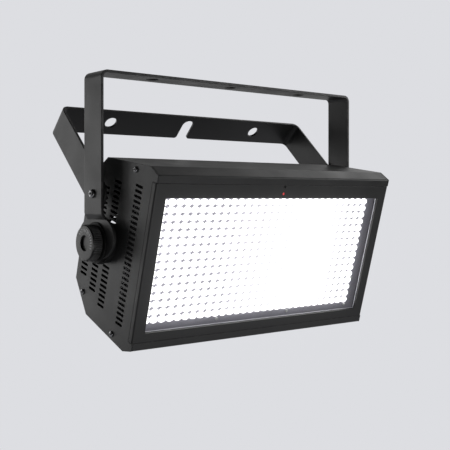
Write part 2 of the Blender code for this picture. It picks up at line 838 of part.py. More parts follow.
for (x, v), label in zip(button_places, ("menu", "down", "up", "enter")):
    outer = plate_outer - button_proud
    profile = [(0.0, -outer), (button_radius * 0.85, -outer), (button_radius, -outer - gap * 2),
               (button_radius, -button_inner), (button_flange, -button_inner),
               (button_flange, -button_end), (0.0, -button_end)]
    add(f"button_{label}", turned(profile, 16, Matrix.Translation((x, 0, v)) @ facing_back),
        grey_plastic, tilt_frame, (x, -plate_outer, v))

# Fuse holder, with a cap that turns a quarter
fuse_face = plate_outer - gap
fuse_front = fuse_face - sheet
fuse_end = plate_outer + fuse_depth
fuse_floor = fuse_end - 2 * sheet
holder = [(0.0, -fuse_floor), (fuse_bore, -fuse_floor), (fuse_bore, -fuse_front),
          (fuse_flange, -fuse_front), (fuse_flange, -fuse_face), (fuse_barrel, -fuse_face),
          (fuse_barrel, -fuse_end), (0.0, -fuse_end)]
fuse_matrix = Matrix.Translation((fuse_x, 0, fuse_row)) @ facing_back
add("fuse_holder", turned(holder, 16, fuse_matrix), black_plastic, tilt_frame)
cap_inner = fuse_front - gap
cap_outer = cap_inner - fuse_cap_depth
cap = [(0.0, -cap_outer), (fuse_cap_radius, -cap_outer), (fuse_cap_radius, -cap_inner),
       (fuse_bore - gap, -cap_inner), (fuse_bore - gap, sheet - fuse_floor), (0.0, sheet - fuse_floor)]
fuse_cap = add("fuse_cap", turned(cap, 16, fuse_matrix), black_plastic, tilt_frame,
               (fuse_x, -cap_inner, fuse_row))
slot_low = cap_outer - sheet
combine(fuse_cap, block_u((fuse_x - fuse_cap_radius * 2, fuse_x + fuse_cap_radius * 2),
                          (slot_low, slot_low + 2 * sheet),
                          (fuse_row - sheet / 2, fuse_row + sheet / 2)), "DIFFERENCE", tilt_frame)

# Connectors, all on the same flange and barrel
flange_inner = plate_outer - gap
flange_outer = flange_inner - connector_flange_thickness
sockets = ("power_inlet", "power_outlet", "data_inlet", "data_outlet")
for (x, v), label in zip(connector_places, sockets):
    loops = [rounded(*connector_flange, connector_corner, (x, v))]
    if label == "data_outlet":
        latch_row = v + connector_barrel + 2 * gap + latch_size[1] / 2
        loops.append(rectangle(latch_size[0] + 2 * gap, latch_size[1] + 2 * gap, (x, latch_row)))
    body = add(label, front_plate(loops, flange_outer, flange_inner), black_plastic, tilt_frame)
    barrel_low = flange_outer + connector_flange_thickness / 2
    combine(body, rod_u(connector_barrel, x, v, barrel_low, barrel_front, 24), "UNION", tilt_frame)
    mouth = flange_outer - sheet
    floor = flange_outer + socket_depth
    if label == "data_inlet":
        combine(body, rod_u(socket_radius, x, v, mouth, floor, 16), "DIFFERENCE", tilt_frame)
        pins = []
        for index in range(5):
            angle = math.radians(-60 + 75 * index)
            pins.append(rod_u(pin_radius, x + pin_circle * math.cos(angle), v + pin_circle * math.sin(angle),
                              floor - pin_length, floor + sheet, 8))
        combine(body, joined(pins), "UNION", tilt_frame)
    elif label == "data_outlet":
        holes = []
        for index in range(5):
            angle = math.radians(-60 + 75 * index)
            holes.append(rod_u(pin_radius + gap, x + pin_circle * math.cos(angle),
                               v + pin_circle * math.sin(angle), mouth, floor, 8))
        combine(body, joined(holes), "DIFFERENCE", tilt_frame)
        latch_inner = flange_inner - latch_travel - gap
        add("data_latch", block_u((x - latch_size[0] / 2, x + latch_size[0] / 2),
                                  (latch_inner - latch_depth, latch_inner),
                                  (latch_row - latch_size[1] / 2, latch_row + latch_size[1] / 2)),
            grey_plastic, tilt_frame, (x, -latch_inner, latch_row))
    else:
        ring = turned(bore_ring(socket_radius, socket_core, -floor, -mouth), 16,
                      Matrix.Translation((x, 0, v)) @ facing_back)
        combine(body, ring, "DIFFERENCE", tilt_frame)

# Fans: a square frame with a struts-and-hub spider, and a rotor on a short shaft
fan_front = fan_back + fan_depth
for side, label in ((-1, "left"), (1, "right")):
    x = side * fan_offset
    loops = [rounded(fan_size, fan_size, fan_corner, (x, 0)), circle(fan_bore, (x, 0), 24)]
    frame = add(f"fan_frame_{label}", front_plate(loops, fan_back, fan_front), black_plastic, tilt_frame)
    inner_face = fan_front - spider / 8
    hub = rod_u(fan_hub_radius, x, 0, fan_front - spider, inner_face, 16)
    struts = []
    for index in range(3):
        arm = block((fan_hub_radius * 0.9, -spider / 4, -spider / 2),
                    (fan_bore + spider / 2, spider / 4, spider / 2))
        arm.transform(Matrix.Translation((x, -(fan_front - spider / 2), 0))
                      @ Matrix.Rotation(math.tau * index / 3 + math.radians(90), 4, "Y"))
        struts.append(arm)
    combine(frame, joined(struts), "UNION", tilt_frame)
    combine(frame, hub, "UNION", tilt_frame)
    fan_screws = [rear_screw(sx, v, -casing_back, fan_screw_radius, fan_screw_head, fan_screw_length)
                  for sx, v in fan_screw_places if sx * side > 0]
    combine(frame, joined(fan_screws), "UNION", tilt_frame)
    combine(frame, rod_u(shaft_radius + gap, x, 0, fan_front - spider - sheet,
                         fan_front + sheet, 12), "DIFFERENCE", tilt_frame)
    rotor_front = fan_front - spider - gap
    rotor_back = fan_back + spider
    rotor = [(0.0, -rotor_back), (fan_hub_radius, -rotor_back), (fan_hub_radius, -rotor_front),
             (shaft_radius, -rotor_front), (shaft_radius, -(rotor_front + spider)),
             (0.0, -(rotor_front + spider))]
    fan_rotor = add(f"fan_rotor_{label}", turned(rotor, 16, Matrix.Translation((x, 0, 0)) @ facing_back),
                    black_plastic, tilt_frame, (x, -rotor_back, 0))
    blade_depth = (rotor_front - rotor_back) * 0.8
    middle = (rotor_front + rotor_back) / 2
    blades = []
    for index in range(fan_blades):
        blade = block((fan_hub_radius * 0.9, -blade_thickness / 2, -blade_depth / 2),
                      (fan_bore - fan_tip_clearance, blade_thickness / 2, blade_depth / 2))
        blade.transform(Matrix.Rotation(math.radians(38), 4, "X"))
        blade.transform(Matrix.Rotation(math.tau * index / fan_blades, 4, "Z"))
        blade.transform(Matrix.Translation((x, -middle, 0)) @ facing_back)
        blades.append(blade)
    combine(fan_rotor, joined(blades), "UNION", tilt_frame)

# Safety eye: a bent plate screwed to the back wall
eye_face = -casing_back - gap
eye_body = add("safety_eye", block_u((eye_x - eye_base[0] / 2, eye_x + eye_base[0] / 2),
                                     (eye_face - eye_plate, eye_face),
                                     (-eye_base[1] / 2, eye_base[1] / 2)), zinc_steel, tilt_frame)
tongue = block_u((eye_x - eye_plate / 2, eye_x + eye_plate / 2),
                 (eye_face - eye_reach, eye_face - eye_plate / 2), (-eye_hole * 1.5, eye_hole * 1.5))
combine(eye_body, tongue, "UNION", tilt_frame)
eye_middle = eye_face - eye_reach + eye_hole * 1.5
eye_screws = [rear_screw(x, v, eye_face - eye_plate, rear_screw_radius, rear_screw_head,
                         eye_plate + 4 * sheet) for x, v in eye_screw_places]
combine(eye_body, joined(eye_screws), "UNION", tilt_frame)
combine(eye_body, rod(eye_hole, (eye_x - eye_plate, -eye_middle, 0), (eye_x + eye_plate, -eye_middle, 0),
                      "X"), "DIFFERENCE", tilt_frame)


def strap_path(half, top, foot, bend):
    """The outer line of half a strap, from the bar's middle round the bend and down the leg."""
    path = [(0.0, top)]
    for step in range(6):
        angle = math.radians(90 - 18 * step)
        path.append((half - bend + bend * math.cos(angle), top - bend + bend * math.sin(angle)))
    return path + foot


def strap(name, half, top, foot, bend, silhouette, parent, width):
    """A bent strap: its front outline, extruded along Y and trimmed to its side outline."""
    right = strap_path(half, top, foot, bend)
    outer = [(-x, z) for x, z in right[:0:-1]] + right[1:]
    inner = inset(outer, -strap_thickness)
    body = add(name, flat([outer + inner[::-1]], -width / 2, width / 2, along_y), black_paint, parent)
    trim = flat([silhouette], -half * 1.1, half * 1.1, along_x)
    return combine(body, trim, "INTERSECT", parent)


# Front yoke: legs step inward and end in wide rounded pads on the tilt axis
yoke_foot = [(yoke_half, tilt_axis + joggle_top), (pad_outer, tilt_axis + joggle_bottom),
             (pad_outer, tilt_axis - pad_half_height)]
pad_centre = tilt_axis + pad_rise
half_strap = strap_width / 2
start_angle = math.acos(half_strap / pad_half_width)
silhouette = [(-half_strap, strap_width), (half_strap, strap_width)][::-1]
pad_steps = 22
for step in range(pad_steps + 1):
    angle = math.pi - start_angle + (math.pi + 2 * start_angle) * step / pad_steps
    silhouette.append((pad_half_width * math.cos(angle), pad_centre + pad_half_height * math.sin(angle)))
front_yoke = strap("front_yoke", yoke_half, 0.0, yoke_foot, bend_radius, silhouette, None,
                   2.2 * pad_half_width)
reach = 2 * strap_thickness
holes = [rod(clamp_hole_radius, (0, 0, -reach), (0, 0, reach), "Z")]
for side in (-1, 1):
    x = side * clamp_hole_spacing
    holes.append(rod(clamp_hole_radius, (x, 0, -reach), (x, 0, reach), "Z"))
    holes.append(rod(pivot_radius + gap, (side * rear_inner, 0, fold_axis),
                     (side * yoke_half * 1.05, 0, fold_axis), "X"))
    holes.append(rod(stud_hole, (side * hub_outer, 0, tilt_axis),
                     (side * yoke_half * 1.05, 0, tilt_axis), "X"))
combine(front_yoke, joined(holes), "DIFFERENCE")

# Rear yoke: a plain strap with round leg ends, modelled upright about the fold axis
rear_silhouette = [(half_strap, rear_reach * 1.1), (-half_strap, rear_reach * 1.1)]
for step in range(17):
    angle = math.pi + math.pi * step / 16
    rear_silhouette.append((half_strap * math.cos(angle), half_strap * math.sin(angle)))
rear_yoke = strap("rear_yoke", rear_half, rear_reach, [(rear_half, -strap_width)], rear_bend_radius,
                  rear_silhouette, fold_frame, 2 * strap_width)
holes = []
for side in (-1, 1):
    holes.append(rod(rear_hole_radius, (side * clamp_hole_spacing, 0, rear_reach - reach),
                     (side * clamp_hole_spacing, 0, rear_reach + reach), "Z"))
    holes.append(rod(pivot_radius + gap, (side * rear_inner * 0.95, 0, 0),
                     (side * yoke_half, 0, 0), "X"))
slot_end = half_strap - rear_slot_depth + rear_slot_half
slot_loop = [(rear_slot_half + slot_mouth_radius, half_strap * 1.5),
             (rear_slot_half + slot_mouth_radius, half_strap)]
for step in range(1, 5):
    angle = math.radians(90 + 22.5 * step)
    slot_loop.append((rear_slot_half + slot_mouth_radius + slot_mouth_radius * math.cos(angle),
                      half_strap - slot_mouth_radius + slot_mouth_radius * math.sin(angle)))
for step in range(5):
    angle = math.radians(-22.5 * step)
    slot_loop.append((rear_slot_half * math.cos(angle), slot_end + rear_slot_half * math.sin(angle)))
slot_loop += [(-x, y) for x, y in slot_loop[-2::-1]]
holes.append(flat([slot_loop], rear_reach - reach, rear_reach + reach, Matrix.Identity(4)))
combine(rear_yoke, joined(holes), "DIFFERENCE", fold_frame)

# Pivot screws, spacer washers and nuts between the yokes
for side, label in ((-1, "left"), (1, "right")):
    outward = (side, 0, 0)
    head_seat = yoke_half + gap
    nut_seat = rear_inner - gap - nut_height
    screw = pan_screw(pivot_radius, head_seat - nut_seat, pivot_head_radius, pivot_head_height, 16)
    screw.transform(out_of((side * head_seat, 0, fold_axis), outward))
    add(f"pivot_screw_{label}", screw, zinc_steel)
    spacer = turned(bore_ring(spacer_radius, pivot_radius + gap, 0.0, spacer_thickness), 16,
                    out_of((side * (rear_half + gap), 0, fold_axis), outward))
    add(f"spacer_washer_{label}", spacer, grey_plastic)
    nut = flat([circle(nut_radius, sides=6), circle(pivot_radius + gap)], 0.0, nut_height,
               out_of((side * nut_seat, 0, fold_axis), outward))
    add(f"pivot_nut_{label}", nut, zinc_steel)

# Tilt clamp: hub on the side panel, friction washer, washer, and knob with its stud
for side, label in ((-1, "left"), (1, "right")):
    outward = Matrix.Rotation(side * math.pi / 2, 4, "Y")
    spigot_end = panel_inner - sheet
    hub = turned([(hub_radius, hub_outer), (hub_radius, half_width + gap),
                  (hub_spigot, half_width + gap), (hub_spigot, spigot_end),
                  (stud_hole, spigot_end), (stud_hole, hub_outer)], 24, outward)
    add(f"tilt_hub_{label}", hub, zinc_steel, tilt_frame)
    friction = turned(bore_ring(friction_radius, stud_hole, friction_inner, friction_outer), 24, outward)
    add(f"friction_washer_{label}", friction, black_rubber, tilt_frame)


def fluted(radius, depth, flutes):
    """A round outline with shallow grip flutes."""
    loop = []
    for index in range(2 * flutes):
        reach = radius - depth * (index % 2)
        angle = math.tau * index / (2 * flutes)
        loop.append((reach * math.cos(angle), reach * math.sin(angle)))
    return loop


for side, label in ((-1, "left"), (1, "right")):
    outward = Matrix.Rotation(side * math.pi / 2, 4, "Y")
    add(f"knob_washer_{label}", turned(bore_ring(knob_washer_radius, stud_hole, washer_inner,
                                                 washer_outer), 24, outward), zinc_steel, tilt_frame)
    grip = flat([fluted(knob_radius, knob_flute_depth, knob_flutes)], knob_inner,
                knob_outer - knob_chamfer, outward)
    knob = add(f"tilt_knob_{label}", grip, black_plastic, tilt_frame)
    face = turned([(0.0, knob_outer), (knob_face_radius, knob_outer),
                   (knob_face_radius, knob_inner + knob_chamfer), (0.0, knob_inner + knob_chamfer)],
                  24, outward)
    combine(knob, face, "UNION", tilt_frame)
    stud = rod(stud_radius, (side * (knob_inner + knob_chamfer), 0, 0),
               (side * (panel_inner - stud_reach), 0, 0), "X", 16)
    combine(knob, stud, "UNION", tilt_frame)
    hollow = rod(knob_recess_radius, (side * (knob_outer - knob_recess_depth), 0, 0),
                 (side * (knob_outer + knob_chamfer), 0, 0), "X", 24)
    combine(knob, hollow, "DIFFERENCE", tilt_frame)
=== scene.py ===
from math import asin, atan2, copysign, cos, degrees, hypot, pi, radians, sin, sqrt, tan, tau
from types import SimpleNamespace

import bmesh
import bpy
from mathutils import Matrix, Vector


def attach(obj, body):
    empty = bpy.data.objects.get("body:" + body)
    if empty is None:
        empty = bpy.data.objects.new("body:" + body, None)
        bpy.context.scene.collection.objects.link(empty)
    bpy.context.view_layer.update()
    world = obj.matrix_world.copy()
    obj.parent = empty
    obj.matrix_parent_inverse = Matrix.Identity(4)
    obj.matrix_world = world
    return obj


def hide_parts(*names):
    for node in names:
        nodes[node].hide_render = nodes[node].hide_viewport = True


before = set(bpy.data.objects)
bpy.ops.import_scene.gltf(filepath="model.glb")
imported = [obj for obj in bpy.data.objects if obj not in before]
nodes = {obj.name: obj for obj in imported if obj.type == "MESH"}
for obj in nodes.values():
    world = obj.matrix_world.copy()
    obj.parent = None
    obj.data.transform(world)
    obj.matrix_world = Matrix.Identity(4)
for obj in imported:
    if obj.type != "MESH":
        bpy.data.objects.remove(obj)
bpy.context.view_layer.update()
scene = bpy.context.scene

# Places shared with the solids, in metres. In the head, u runs forward and v up from the tilt axis
tiltAxis = -0.1818
foldAxis = tiltAxis + 0.0520
panelFace = 0.1726
panelInner = 0.1711
faceFront = 0.0764
plateOuter = -0.0522
wallOuter = -0.0504
headTilt = 15.3
rearLean = -46.0
softEdge = 0.0003   # rounding of a cut sheet edge
weld = 1e-6         # points closer than this are one point
bothSides = ((-1, "left"), (1, "right"))
headPlace = Matrix.Translation((0, 0, tiltAxis)) @ Matrix.Rotation(radians(headTilt), 4, "X")
foldPlace = Matrix.Translation((0, 0, foldAxis)) @ Matrix.Rotation(radians(rearLean), 4, "X")
faceForward = Matrix(((1, 0, 0, 0), (0, 0, -1, 0), (0, 1, 0, 0), (0, 0, 0, 1)))
faceSide = Matrix(((0, 0, 1, 0), (1, 0, 0, 0), (0, 1, 0, 0), (0, 0, 0, 1)))
shellFold = Matrix(((0, 1, 0, 0), (0, 0, 1, 0), (1, 0, 0, 0), (0, 0, 0, 1)))


def faceOut(side):   # z turned to point away from the middle along x
    return Matrix.Rotation(side * pi / 2, 4, "Y")


def faceBack(x, v):   # z turned to point backwards out of the head, so a height is minus u
    return Matrix.Translation((x, 0, v)) @ Matrix.Rotation(-pi / 2, 4, "X")


def named(settings):   # a piece's dictionary, read as s.width
    return SimpleNamespace(**settings)


# Nodes. Plain values fill the open sockets in order, capital names are sockets, small names are settings
def addNode(tree, kind, *values, **names):
    node = tree.nodes.new(kind)
    for name, value in names.items():
        if name[0].islower():
            setattr(node, name, value)
    sockets = list(zip((i for i, socket in enumerate(node.inputs) if socket.enabled), values))
    sockets += [(name.replace("_", " "), value) for name, value in names.items() if name[0].isupper()]
    for key, value in sockets:
        if isinstance(value, bpy.types.NodeSocket):
            tree.links.new(value, node.inputs[key])
        else:
            node.inputs[key].default_value = value
    return next(socket for socket in node.outputs if socket.enabled)


def groupTree(kind, name, inputs, outputs):
    tree = bpy.data.node_groups.new(name, kind)
    for way, sockets in (("INPUT", inputs), ("OUTPUT", outputs)):
        for label, socketKind, *value in sockets:
            socket = tree.interface.new_socket(label, in_out=way, socket_type="NodeSocket" + socketKind)
            if value:
                socket.default_value = value[0]
    return tree, tree.nodes.new("NodeGroupInput").outputs, tree.nodes.new("NodeGroupOutput").inputs


def finishGroup(tree, end, *values):
    for value, socket in zip(values, end):
        tree.links.new(value, socket)
    return tree


def addMath(tree, operation, first, second=0.0, clamp=False):
    return addNode(tree, "ShaderNodeMath", first, second, operation=operation, use_clamp=clamp)


def times(tree, first, second, clamp=False):
    return addMath(tree, "MULTIPLY", first, second, clamp)


def plus(tree, first, second, clamp=False):
    return addMath(tree, "ADD", first, second, clamp)


def noiseAt(tree, vector, scale, detail=2.0, rough=0.5):
    return addNode(tree, "ShaderNodeTexNoise", Vector=vector, Scale=scale, Detail=detail, Roughness=rough)


def ramp(tree, value, low, high, outLow=0.0, outHigh=1.0):
    return addNode(tree, "ShaderNodeMapRange", value, low, high, outLow, outHigh)


def mixColour(tree, factor, first, second, blend="MIX"):
    return addNode(tree, "ShaderNodeMix", factor, first, second, data_type="RGBA", blend_type=blend)


def objectPlace(tree):
    return addNode(tree, "ShaderNodeTexCoord").node.outputs["Object"]


# Shader groups that the finishes share. A noise is its scale, detail and roughness, a range its two ends
surfaceOutputs = [("Colour", "Color"), ("Roughness", "Float"), ("Height", "Float")]
coatLook = {"mottle": (26.0, 4.0, 0.6), "mottleRange": (0.3, 0.7), "tone": (0.86, 1.14),
            "edgeRange": (0.535, 0.57), "patches": (140.0, 3.0), "patchRange": (0.45, 0.62),
            "upRange": (0.45, 1.0), "specks": (60.0, 6.0, 0.7), "speckRange": (0.42, 0.72),
            "dustColour": (0.30, 0.29, 0.28, 1), "dustRoughness": 0.3}


def makeCoatGroup(s):   # powder coat or moulded plastic: fine grain, mottling, worn edges and dust
    tree, start, end = groupTree("ShaderNodeTree", "coatedSurface", [
        ("Coat Colour", "Color", (0.03, 0.03, 0.03, 1)), ("Worn Colour", "Color", (0.12, 0.12, 0.12, 1)),
        ("Grain Scale", "Float", 1100.0), ("Base Roughness", "Float", 0.45), ("Spread", "Float", 0.10),
        ("Wear", "Float", 0.5), ("Dust", "Float", 0.15)], surfaceOutputs)
    place = objectPlace(tree)
    geometry = addNode(tree, "ShaderNodeNewGeometry").node.outputs
    grain = noiseAt(tree, place, start["Grain Scale"])
    mottle = noiseAt(tree, place, *s.mottle)
    edge = ramp(tree, geometry["Pointiness"], *s.edgeRange)
    patches = ramp(tree, noiseAt(tree, place, *s.patches), *s.patchRange)
    wear = times(tree, times(tree, edge, patches), start["Wear"], True)
    up = addNode(tree, "ShaderNodeSeparateXYZ", geometry["Normal"]).node.outputs["Z"]
    specks = ramp(tree, noiseAt(tree, place, *s.specks), *s.speckRange)
    dust = times(tree, times(tree, ramp(tree, up, *s.upRange), specks), start["Dust"], True)
    tone = ramp(tree, mottle, *s.mottleRange, *s.tone)
    grey = addNode(tree, "ShaderNodeCombineColor", tone, tone, tone)
    shade = mixColour(tree, 1.0, start["Coat Colour"], grey, "MULTIPLY")
    worn = mixColour(tree, wear, shade, start["Worn Colour"])
    dusty = mixColour(tree, dust, worn, s.dustColour)
    spread = times(tree, ramp(tree, mottle, *s.mottleRange, -1.0, 1.0), start["Spread"])
    rough = plus(tree, start["Base Roughness"], spread)
    rough = plus(tree, rough, times(tree, dust, s.dustRoughness), True)
    return finishGroup(tree, end, dusty, rough, grain)


metalLook = {"stretch": (0.08, 1.0, 1.0), "streakDetail": 3.0, "streakRange": (0.3, 0.7),
             "streakRoughness": (-0.06, 0.10), "cloud": (70.0, 4.0, 0.6), "cloudRange": (0.4, 0.7),
             "tarnishColour": (0.30, 0.29, 0.27, 1), "tarnishRoughness": 0.35}


def makeMetalGroup(s):   # plated or mill metal: streaks along x and cloudy tarnish
    tree, start, end = groupTree("ShaderNodeTree", "bareMetal", [
        ("Metal Colour", "Color", (0.6, 0.6, 0.6, 1)), ("Streak Scale", "Float", 300.0),
        ("Base Roughness", "Float", 0.3), ("Tarnish", "Float", 0.25)], surfaceOutputs)
    place = objectPlace(tree)
    stretch = addNode(tree, "ShaderNodeMapping", Vector=place, Scale=s.stretch)
    streak = noiseAt(tree, stretch, start["Streak Scale"], s.streakDetail)
    cloud = ramp(tree, noiseAt(tree, place, *s.cloud), *s.cloudRange)
    tarnish = times(tree, cloud, start["Tarnish"], True)
    colour = mixColour(tree, tarnish, start["Metal Colour"], s.tarnishColour)
    rough = ramp(tree, streak, *s.streakRange, *s.streakRoughness)
    rough = plus(tree, start["Base Roughness"], rough)
    rough = plus(tree, rough, times(tree, tarnish, s.tarnishRoughness), True)
    return finishGroup(tree, end, colour, rough, streak)


# Painted light: the board glows between the emitters as if lit by them. In object places: along x, and up
# the tilted head from its middle row; shade is a faint painted glow over the whole board
glowLook = {"shade": (0.075, 0.073, 0.085, 1), "glow": (1, 1, 1, 1), "growRange": (-0.07, 0.075),
            "fadeRange": (0.085, 0.130), "upY": -0.2639, "upZ": 0.9646, "middle": 0.1778,
            "rowsRange": (0.066, 0.069)}


def makeGlowGroup(s):   # painted glow, strongest right of the middle, none past the outer rows
    tree, start, end = groupTree("ShaderNodeTree", "paintedEmitterGlow", [
        ("Shade", "Color", s.shade), ("Glow", "Color", s.glow)], [("Colour", "Color")])
    place = addNode(tree, "ShaderNodeSeparateXYZ", objectPlace(tree)).node.outputs
    fade = ramp(tree, place["X"], *s.fadeRange, 1.0, 0.0)
    across = times(tree, ramp(tree, place["X"], *s.growRange), fade)
    rise = plus(tree, times(tree, place["Y"], s.upY), times(tree, place["Z"], s.upZ))
    away = addMath(tree, "ABSOLUTE", plus(tree, rise, s.middle))
    factor = times(tree, across, ramp(tree, away, *s.rowsRange, 1.0, 0.0))
    return finishGroup(tree, end, mixColour(tree, factor, start["Shade"], start["Glow"]))


coatGroup = makeCoatGroup(named(coatLook))
metalGroup = makeMetalGroup(named(metalLook))
reliefDepth = 0.0001


def makeMaterial(name, group, values, bump, shaderValues):
    material = bpy.data.materials.new(name)
    material.use_nodes = True
    tree = material.node_tree
    shader = tree.nodes["Principled BSDF"].inputs
    surface = addNode(tree, "ShaderNodeGroup", node_tree=group, **values).node.outputs
    relief = addNode(tree, "ShaderNodeBump", Strength=bump, Distance=reliefDepth, Height=surface["Height"])
    tree.links.new(surface["Colour"], shader["Base Color"])
    tree.links.new(surface["Roughness"], shader["Roughness"])
    tree.links.new(relief, shader["Normal"])
    for key, value in shaderValues.items():
        shader[key.replace("_", " ")].default_value = value
    return material


def coat(name, colour, roughness, worn=0.11, wear=0.5, dust=0.1, grain=1100.0, bump=0.12, **shaderValues):
    wornColour = worn if isinstance(worn, tuple) else (worn, worn, worn)
    return makeMaterial(name, coatGroup, {
        "Coat Colour": (*colour, 1), "Worn Colour": (*wornColour, 1), "Base Roughness": roughness,
        "Wear": wear, "Dust": dust, "Grain Scale": grain, "Spread": 0.06}, bump, shaderValues)


def metal(name, colour, roughness, tarnish=0.2, bump=0.08):
    return makeMaterial(name, metalGroup, {"Metal Colour": (*colour, 1), "Base Roughness": roughness,
                                           "Tarnish": tarnish}, bump, {"Metallic": 1.0})


yokePaint = coat("yokePaint", (0.022, 0.022, 0.022), 0.41)
casingPaint = coat("casingPaint", (0.018, 0.018, 0.018), 0.42)
bezelPaint = coat("bezelPaint", (0.013, 0.013, 0.013), 0.46)
# black finish of the hub and washer, made darker than the other black parts: partly painted shade for the
# knob's shadow over them
clampBlackPaintedShade = coat("clampBlackPaintedShade", (0.006, 0.006, 0.006), 0.60, worn=0.03, Specular_IOR_Level=0.25)
knobPlastic = coat("knobPlastic", (0.012, 0.012, 0.012), 0.36, worn=0.08, grain=1800.0, bump=0.08)
socketPlastic = coat("socketPlastic", (0.014, 0.014, 0.015), 0.35, worn=0.04, grain=2200.0)
innerPlastic = coat("innerPlastic", (0.010, 0.010, 0.011), 0.55, worn=0.03, grain=1800.0)
bluePlastic = coat("bluePlastic", (0.020, 0.055, 0.160), 0.38, worn=(0.05, 0.09, 0.2), grain=2200.0)
greyPlastic = coat("greyPlastic", (0.30, 0.31, 0.33), 0.42, worn=0.4, grain=2200.0)
rubberBlack = coat("rubberBlack", (0.008, 0.008, 0.008), 0.80, worn=0.02, grain=700.0, bump=0.2,
                   Specular_IOR_Level=0.25)
zincPlate = metal("zincPlate", (0.66, 0.67, 0.69), 0.22)
darkZinc = metal("darkZinc", (0.30, 0.30, 0.31), 0.20)
millAluminium = metal("millAluminium", (0.62, 0.63, 0.65), 0.36)
# the board's lilac grey, which also glows: its emission is painted light from the emitter glow group
boardGreyPaintedGlow = coat("boardGreyPaintedGlow", (0.330, 0.322, 0.368), 0.40, worn=0.45, wear=0.1, dust=0.0, grain=500.0,
                 Emission_Strength=1.0)
# a pale band, a painted highlight where the retainer's inner edge catches the emitters' light
paintedHighlightEdge = coat("paintedHighlightEdge", (0.50, 0.50, 0.54), 0.30, worn=0.5, wear=0.0, dust=0.0, grain=900.0)
boardGreen = coat("boardGreen", (0.012, 0.085, 0.040), 0.35, worn=0.1, wear=0.1, grain=500.0)
lensRed = coat("lensRed", (0.55, 0.02, 0.02), 0.12, worn=0.3, dust=0.0, bump=0.02,
               Emission_Color=(0.9, 0.05, 0.05, 1), Emission_Strength=0.5)
lensDark = coat("lensDark", (0.006, 0.003, 0.005), 0.12, worn=0.02, dust=0.02, bump=0.02,
                Specular_IOR_Level=0.3)
digitGlow = coat("digitGlow", (0.05, 0.20, 0.40), 0.30, worn=0.3, dust=0.0, bump=0.02,
                 Emission_Color=(0.25, 0.65, 1.0, 1), Emission_Strength=1.5)
# the knob's black plastic drawn lighter on the ridges: their lighter colour is a painted sheen
knobRidgePaintedSheen = coat("knobRidgePaintedSheen", (0.055, 0.055, 0.055), 0.40, worn=0.16, grain=1800.0, bump=0.08)
tickPaint = coat("tickPaint", (0.85, 0.85, 0.85), 0.50, worn=0.6, dust=0.0)
screwWhite = coat("screwWhite", (0.80, 0.80, 0.80), 0.35, worn=0.6, dust=0.0, bump=0.02)
ledDome = coat("ledDome", (0.85, 0.85, 0.82), 0.25, worn=0.9, wear=0.0, dust=0.0, bump=0.02,
               Emission_Color=(1.0, 1.0, 1.0, 1), Emission_Strength=3.0)
windowGlass = coat("windowGlass", (0.04, 0.045, 0.05), 0.04, worn=0.05, wear=0.0, dust=0.0, grain=30.0,
                   bump=0.01, Alpha=0.12, IOR=1.9)
# painted light: the board's emission colour is the painted glow between the emitters
boardTree = boardGreyPaintedGlow.node_tree
boardTree.links.new(addNode(boardTree, "ShaderNodeGroup", node_tree=makeGlowGroup(named(glowLook))),
                    boardTree.nodes["Principled BSDF"].inputs["Emission Color"])
print("finishes made")


# Outlines
def arcPoints(centre, radius, angles):
    return [(centre[0] + radius * cos(radians(a)), centre[1] + radius * sin(radians(a))) for a in angles]


def rectangle(width, height, centre=(0.0, 0.0)):
    x, y = centre
    return [(x + sx * width / 2, y + sy * height / 2) for sx, sy in ((-1, -1), (1, -1), (1, 1), (-1, 1))]


def rounded(width, height, corner, centre=(0.0, 0.0), steps=4):
    loop = []
    for quarter, (sx, sy) in enumerate(((1, 1), (-1, 1), (-1, -1), (1, -1))):
        middle = (centre[0] + sx * (width / 2 - corner), centre[1] + sy * (height / 2 - corner))
        loop += arcPoints(middle, corner, [90 * (quarter + step / steps) for step in range(steps + 1)])
    return loop


def circle(radius, centre=(0.0, 0.0), sides=32):
    return arcPoints(centre, radius, [360 * i / sides for i in range(sides)])


def roundCorners(loop, radius, steps=4, straight=4):   # corners of under 4 degrees stay as they are
    result = []
    for index, point in enumerate(loop):
        here = Vector(point)
        before = (Vector(loop[index - 1]) - here).normalized()
        after = (Vector(loop[(index + 1) % len(loop)]) - here).normalized()
        turn = pi - before.angle(after)
        if turn < radians(straight):
            result.append(tuple(point))
            continue
        centre = here + (before + after).normalized() * (radius / cos(turn / 2))
        first = here + before * (radius * tan(turn / 2)) - centre
        last = here + after * (radius * tan(turn / 2)) - centre
        low = degrees(atan2(first.y, first.x))
        sweep = degrees(atan2(first.x * last.y - first.y * last.x, first.dot(last)))
        result += arcPoints(centre, radius, [low + sweep * step / steps for step in range(steps + 1)])
    return result


def shrink(loop, distance, sharpest=0.3):   # a closed outline drawn in; sharpest limits a corner's move
    area = sum(a[0] * b[1] - b[0] * a[1] for a, b in zip(loop, loop[1:] + loop[:1]))
    distance = distance if area > 0 else -distance
    moved = []
    for index, point in enumerate(loop):
        here = Vector(point)
        runIn = here - Vector(loop[index - 1])
        runOut = Vector(loop[(index + 1) % len(loop)]) - here
        first = Vector((-runIn.y, runIn.x)).normalized()
        total = (first + Vector((-runOut.y, runOut.x)).normalized()).normalized()
        moved.append(tuple(here + total * (distance / max(total.dot(first), sharpest))))
    return moved


# Meshes
def meshFrom(form):
    mesh = bpy.data.meshes.new("shape")
    form.to_mesh(mesh)
    form.free()
    return mesh


def addObject(name, data):
    thing = bpy.data.objects.new(name, data)
    scene.collection.objects.link(thing)
    return thing


def cleanUp(form, mesh):   # joins doubled points and turns the faces outwards
    bmesh.ops.remove_doubles(form, verts=form.verts, dist=weld)
    bmesh.ops.recalc_face_normals(form, faces=form.faces)
    form.to_mesh(mesh)
    form.free()
    return mesh


